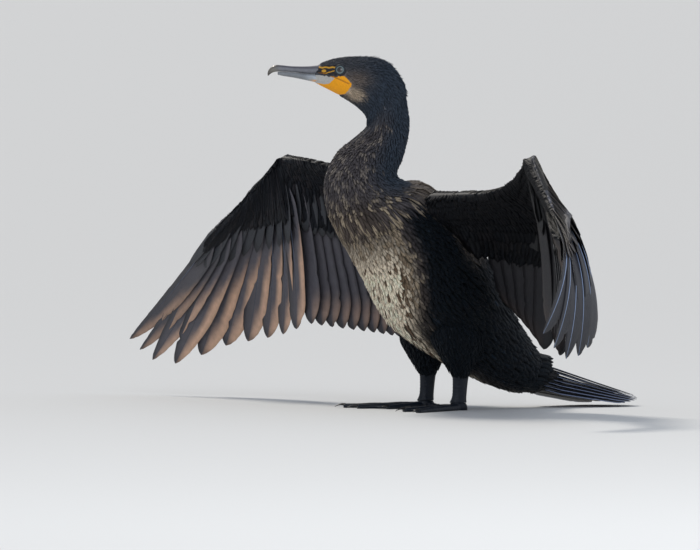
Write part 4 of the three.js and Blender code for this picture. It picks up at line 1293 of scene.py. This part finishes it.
def build_bill(name, node, table, tint_of, grooved):
    """One half of the bill. The upper one has a groove along each side, the lower one stays under it."""
    places = np.linspace(0, table[-1, 0], BILL_STEPS)
    forward, up, lean, height, width = keyed(table, places).T
    angle = circle(BILL_SIDES)
    groove = 0.1 * np.exp(-((np.abs(((angle + np.pi) % (2 * np.pi)) - np.pi) - 1.25) / 0.16) ** 2)
    shrink = 1 - groove[None, :] * (smooth(76, 60, forward) * grooved)[:, None]
    rise = height[:, None] * np.cos(angle)[None] * (1 - 0.3 * (1 - shrink))
    aside = width[:, None] * np.sin(angle)[None] * shrink
    lean = np.radians(lean)[:, None]
    above = up[:, None] + rise * np.cos(lean)
    if not grooved:
        underside = np.interp(forward, UPPER_BILL[:6, 1], UPPER_BILL[:6, 2] - UPPER_BILL[:6, 4])
        above = np.minimum(above, underside[:, None] - 0.15)
    points, faces = loft(head_points(forward[:, None] + rise * np.sin(lean), above, aside))
    top = np.append(np.tile(np.cos(angle), BILL_STEPS), [0, 0])
    reach = np.append(np.repeat(forward, BILL_SIDES), [forward[0], forward[-1]])
    shape = Shape()
    shape.add(points, faces, tint_of(top, reach))
    piece = shape.build(name, HORN, "bill")
    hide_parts(node)


def upper_tint(top, reach):
    colour = mix(srgb(118, 120, 128), srgb(58, 56, 70), smooth(0.1, 0.75, top))
    colour = mix(colour, srgb(120, 114, 100), smooth(60, 72, reach) * 0.7)
    return mix(colour, srgb(44, 40, 40), smooth(72, 76, reach) * 0.6)


def lower_tint(top, reach):
    colour = mix(srgb(186, 194, 202), srgb(128, 132, 138), smooth(22, 42, reach))
    return mix(colour, ORANGE, smooth(0.2, 0.75, -top) * (1 - smooth(24, 34, reach)))


build_bill("bill_top", "bill_upper", UPPER_BILL, upper_tint, True)
build_bill("bill_base", "bill_lower", LOWER_BILL, lower_tint, False)


# Legs and feet. Toes: angle from ahead, length, claw.
TOES = [(24, 88, 10), (4, 76, 13), (-20, 54, 10), (-104, 22, 6)]
FOOT_TURN = 8
TOE_HALF = 4.5
TOE_HEIGHT = 7.2
SOLE = np.array([[-0.8, 0], [0, 0], [0.8, 0], [1, 0.3], [0.85, 0.72], [0.5, 0.94], [0, 1.02], [-0.5, 0.94],
                 [-0.85, 0.72], [-1, 0.3]])
LEG_TINT = srgb(16, 25, 37)
CLAW_TINT = srgb(20, 20, 22)

# Sections of the tarsus: place, forward, up, half length, half width.
TARSUS = np.array([
    [0, 1, 37, 9.5, 5.5], [1, 1.5, 28, 8.6, 4.8], [2, 2.5, 15, 8.2, 4.8], [3, 4, 8, 9.6, 6],
], float)


def toe_direction(angle, side):
    turn = math.radians(angle + FOOT_TURN)
    return np.array([math.cos(turn), side * math.sin(turn), 0])


def toe_rings(heel, direction, across, length):
    rings = []
    for d in np.linspace(-6, length, 60):
        part = max(d, 0) / length
        knuckle = 1 + 0.07 * math.cos(2 * math.pi * 3 * part) + 0.02 * math.cos(2 * math.pi * 16 * part)
        half = TOE_HALF * (1 - 0.36 * part) * knuckle
        height = TOE_HEIGHT * (1 - 0.42 * part) * (0.5 + 0.5 * knuckle)
        rings.append(heel + direction * d + across * (SOLE[:, :1] * half) + UP * (SOLE[:, 1:] * height))
    return rings


def claw_rings(heel, direction, across, length, claw):
    rings = []
    turn = circle(10)[:, None]
    for part in np.linspace(0, 1, 12):
        half = 1.7 * (1 - part) + 0.2
        above = 2.4 * (1 - part ** 2) + 0.9 + 0.8 * math.sin(math.pi * part)
        centre = heel + direction * (length - 2 + (claw + 1.5) * part) + UP * above
        rings.append(centre + across * (half * 0.8 * np.cos(turn)) + UP * (half * 0.85 * np.sin(turn)))
    return rings


def build_foot(side, name):
    heel = np.array([2.0, side * LEG_SPACING, 0.0])
    shape, claws = Shape(), Shape()
    for angle, length, claw in TOES:
        direction = toe_direction(angle, side)
        across = np.array([-direction[1], direction[0], 0])
        shape.add_rings(toe_rings(heel, direction, across, length), LEG_TINT)
        claws.add_rings(claw_rings(heel, direction, across, length, claw), CLAW_TINT)
    rings = []
    turn = circle(24)
    for part in np.linspace(0, 1, 12):
        half_length = 8.5 + 1.6 * math.sin(math.pi * part) * 0.6
        half_width = 6 + 0.8 * math.sin(math.pi * part) - 0.2 * part
        centre = heel + np.array([2 * part, 0, 7.7 * part])
        outline = np.stack([half_length * np.cos(turn), half_width * np.sin(turn), 0 * turn], axis=1)
        rings.append(centre + outline)
    shape.add_rings(rings, LEG_TINT)
    for first, second in zip(TOES[:-1], TOES[1:]):
        web_between(shape, heel, side, first, second)
    foot = shape.build(f"webbed_foot_{name}", LEG, "leg_skin")
    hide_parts(f"foot_{name}")
    claws.build(f"claws_{name}", CLAW, "leg_skin")


WEB_COLUMNS = 14
WEB_ROWS = 18


def web_between(shape, heel, side, first, second):
    """A thin web with fine pleats between two toes, its edge hanging in between their ends."""
    u = np.linspace(0, 1, WEB_COLUMNS)
    v = np.linspace(0.06, 1, WEB_ROWS)
    start, end = (toe_direction(toe[0], side) * toe[1] * 0.93 for toe in (first, second))
    sag = 1 - 0.07 * 4 * u * (1 - u)
    edge = (start * (1 - u)[:, None] + end * u[:, None]) * sag[:, None]
    flat = heel + edge[None] * v[:, None, None]
    pleat = 0.35 * np.sin(u * 2 * np.pi * 4)[None] * v[:, None] * np.sin(np.pi * u)[None]
    top = flat + UP * (2.3 + pleat + 0.6 * (1 - v)[:, None])[..., None]
    under = flat + UP * (1.0 + pleat * 0.5)[..., None]
    faces = slab_faces(WEB_ROWS, WEB_COLUMNS)
    points = np.concatenate([top.reshape(-1, 3), under.reshape(-1, 3)])
    a, b, c = points[faces[:, 0]], points[faces[:, 1]], points[faces[:, 2]]
    if np.einsum("ij,ij->", a, np.cross(b, c)) < 0:
        faces = faces[:, ::-1]
    shape.add(points, [faces], LEG_TINT * 1.15)


def build_tarsus(side, name):
    turn = circle(32)
    rings = []
    for place in np.linspace(0, 3, 40):
        x, z, half_length, half_width = keyed(TARSUS, place)[0]
        scute = 1 + 0.02 * math.sin(2 * math.pi * place * 4) * (np.cos(turn) > 0.2)
        forward = x + half_length * np.cos(turn) * scute
        aside = side * LEG_SPACING + half_width * np.sin(turn) * scute
        rings.append(np.stack([forward, aside, z + 0 * turn], axis=1))
    shape = Shape()
    shape.add_rings(rings, LEG_TINT)
    shank = shape.build(f"shank_{name}", LEG, "leg_skin")
    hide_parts(f"tarsus_{name}")


for leg_side, leg_name in ((1, "left"), (-1, "right")):
    build_foot(leg_side, leg_name)
    build_tarsus(leg_side, leg_name)


# Floor, light and camera
FLOOR_RADIUS = 300.0


def build_floor():
    rim = [(FLOOR_RADIUS * math.cos(t), FLOOR_RADIUS * math.sin(t), 0) for t in circle(96)]
    mesh = bpy.data.meshes.new("floor")
    mesh.from_pydata(rim, [], [list(range(len(rim)))])
    floor = bpy.data.objects.new("floor", mesh)
    bpy.context.scene.collection.objects.link(floor)
    pale = bpy.data.materials.new("floor")
    pale.use_nodes = True
    shader = pale.node_tree.nodes["Principled BSDF"]
    shader.inputs["Base Color"].default_value = (0.62, 0.63, 0.64, 1)
    shader.inputs["Roughness"].default_value = 0.9
    mesh.materials.append(pale)


build_floor()

VIEW_YAW = math.radians(28)
VIEW_RISE = math.radians(1.5)
VIEW_DISTANCE = 12.0
VIEW_WIDTH = 0.735
SENSOR = 36.0
to_camera = np.array([math.sin(VIEW_YAW) * math.cos(VIEW_RISE), math.cos(VIEW_YAW) * math.cos(VIEW_RISE),
                      math.sin(VIEW_RISE)])
right = np.array([-math.cos(VIEW_YAW), math.sin(VIEW_YAW), 0])
up = np.cross(to_camera, right)
target = (OFFSET + right * -99.75 + up * 140.7) * MM

# Lights: name, kind, way from the target to the right, up and towards the camera, distance, settings.
LIGHTS = [
    ("key", "SUN", (-0.5, 1.0, -0.75), 4,
     {"energy": 2.2, "angle": math.radians(14), "color": (1.0, 0.94, 0.84)}),
    ("fill", "AREA", (0.3, 0.5, 1.0), 3,
     {"shape": "DISK", "size": 2.5, "energy": 26, "color": (0.92, 0.96, 1.0)}),
]


def look_at_target(obj, place):
    obj.location = Vector(place)
    obj.rotation_euler = (Vector(target) - Vector(place)).to_track_quat("-Z", "Y").to_euler()
    bpy.context.scene.collection.objects.link(obj)


camera_data = bpy.data.cameras.new("camera")
camera_data.sensor_width = SENSOR
camera_data.lens = SENSOR * VIEW_DISTANCE / VIEW_WIDTH
camera_data.clip_start = 0.1
camera_data.clip_end = 1500
camera = bpy.data.objects.new("camera", camera_data)
look_at_target(camera, target + to_camera * VIEW_DISTANCE)
bpy.context.scene.camera = camera

for name, kind, way, distance, settings in LIGHTS:
    light = bpy.data.lights.new(name, kind)
    for key, value in settings.items():
        setattr(light, key, value)
    place = target + (way[0] * right + way[1] * up + way[2] * to_camera) * distance
    look_at_target(bpy.data.objects.new(name, light), place)

world = bpy.data.worlds.new("studio")
world.use_nodes = True
world.node_tree.nodes["Background"].inputs["Color"].default_value = (0.86, 0.91, 1.0, 1)
world.node_tree.nodes["Background"].inputs["Strength"].default_value = 0.55
bpy.context.scene.world = world
bpy.context.scene.view_settings.view_transform = "Standard"
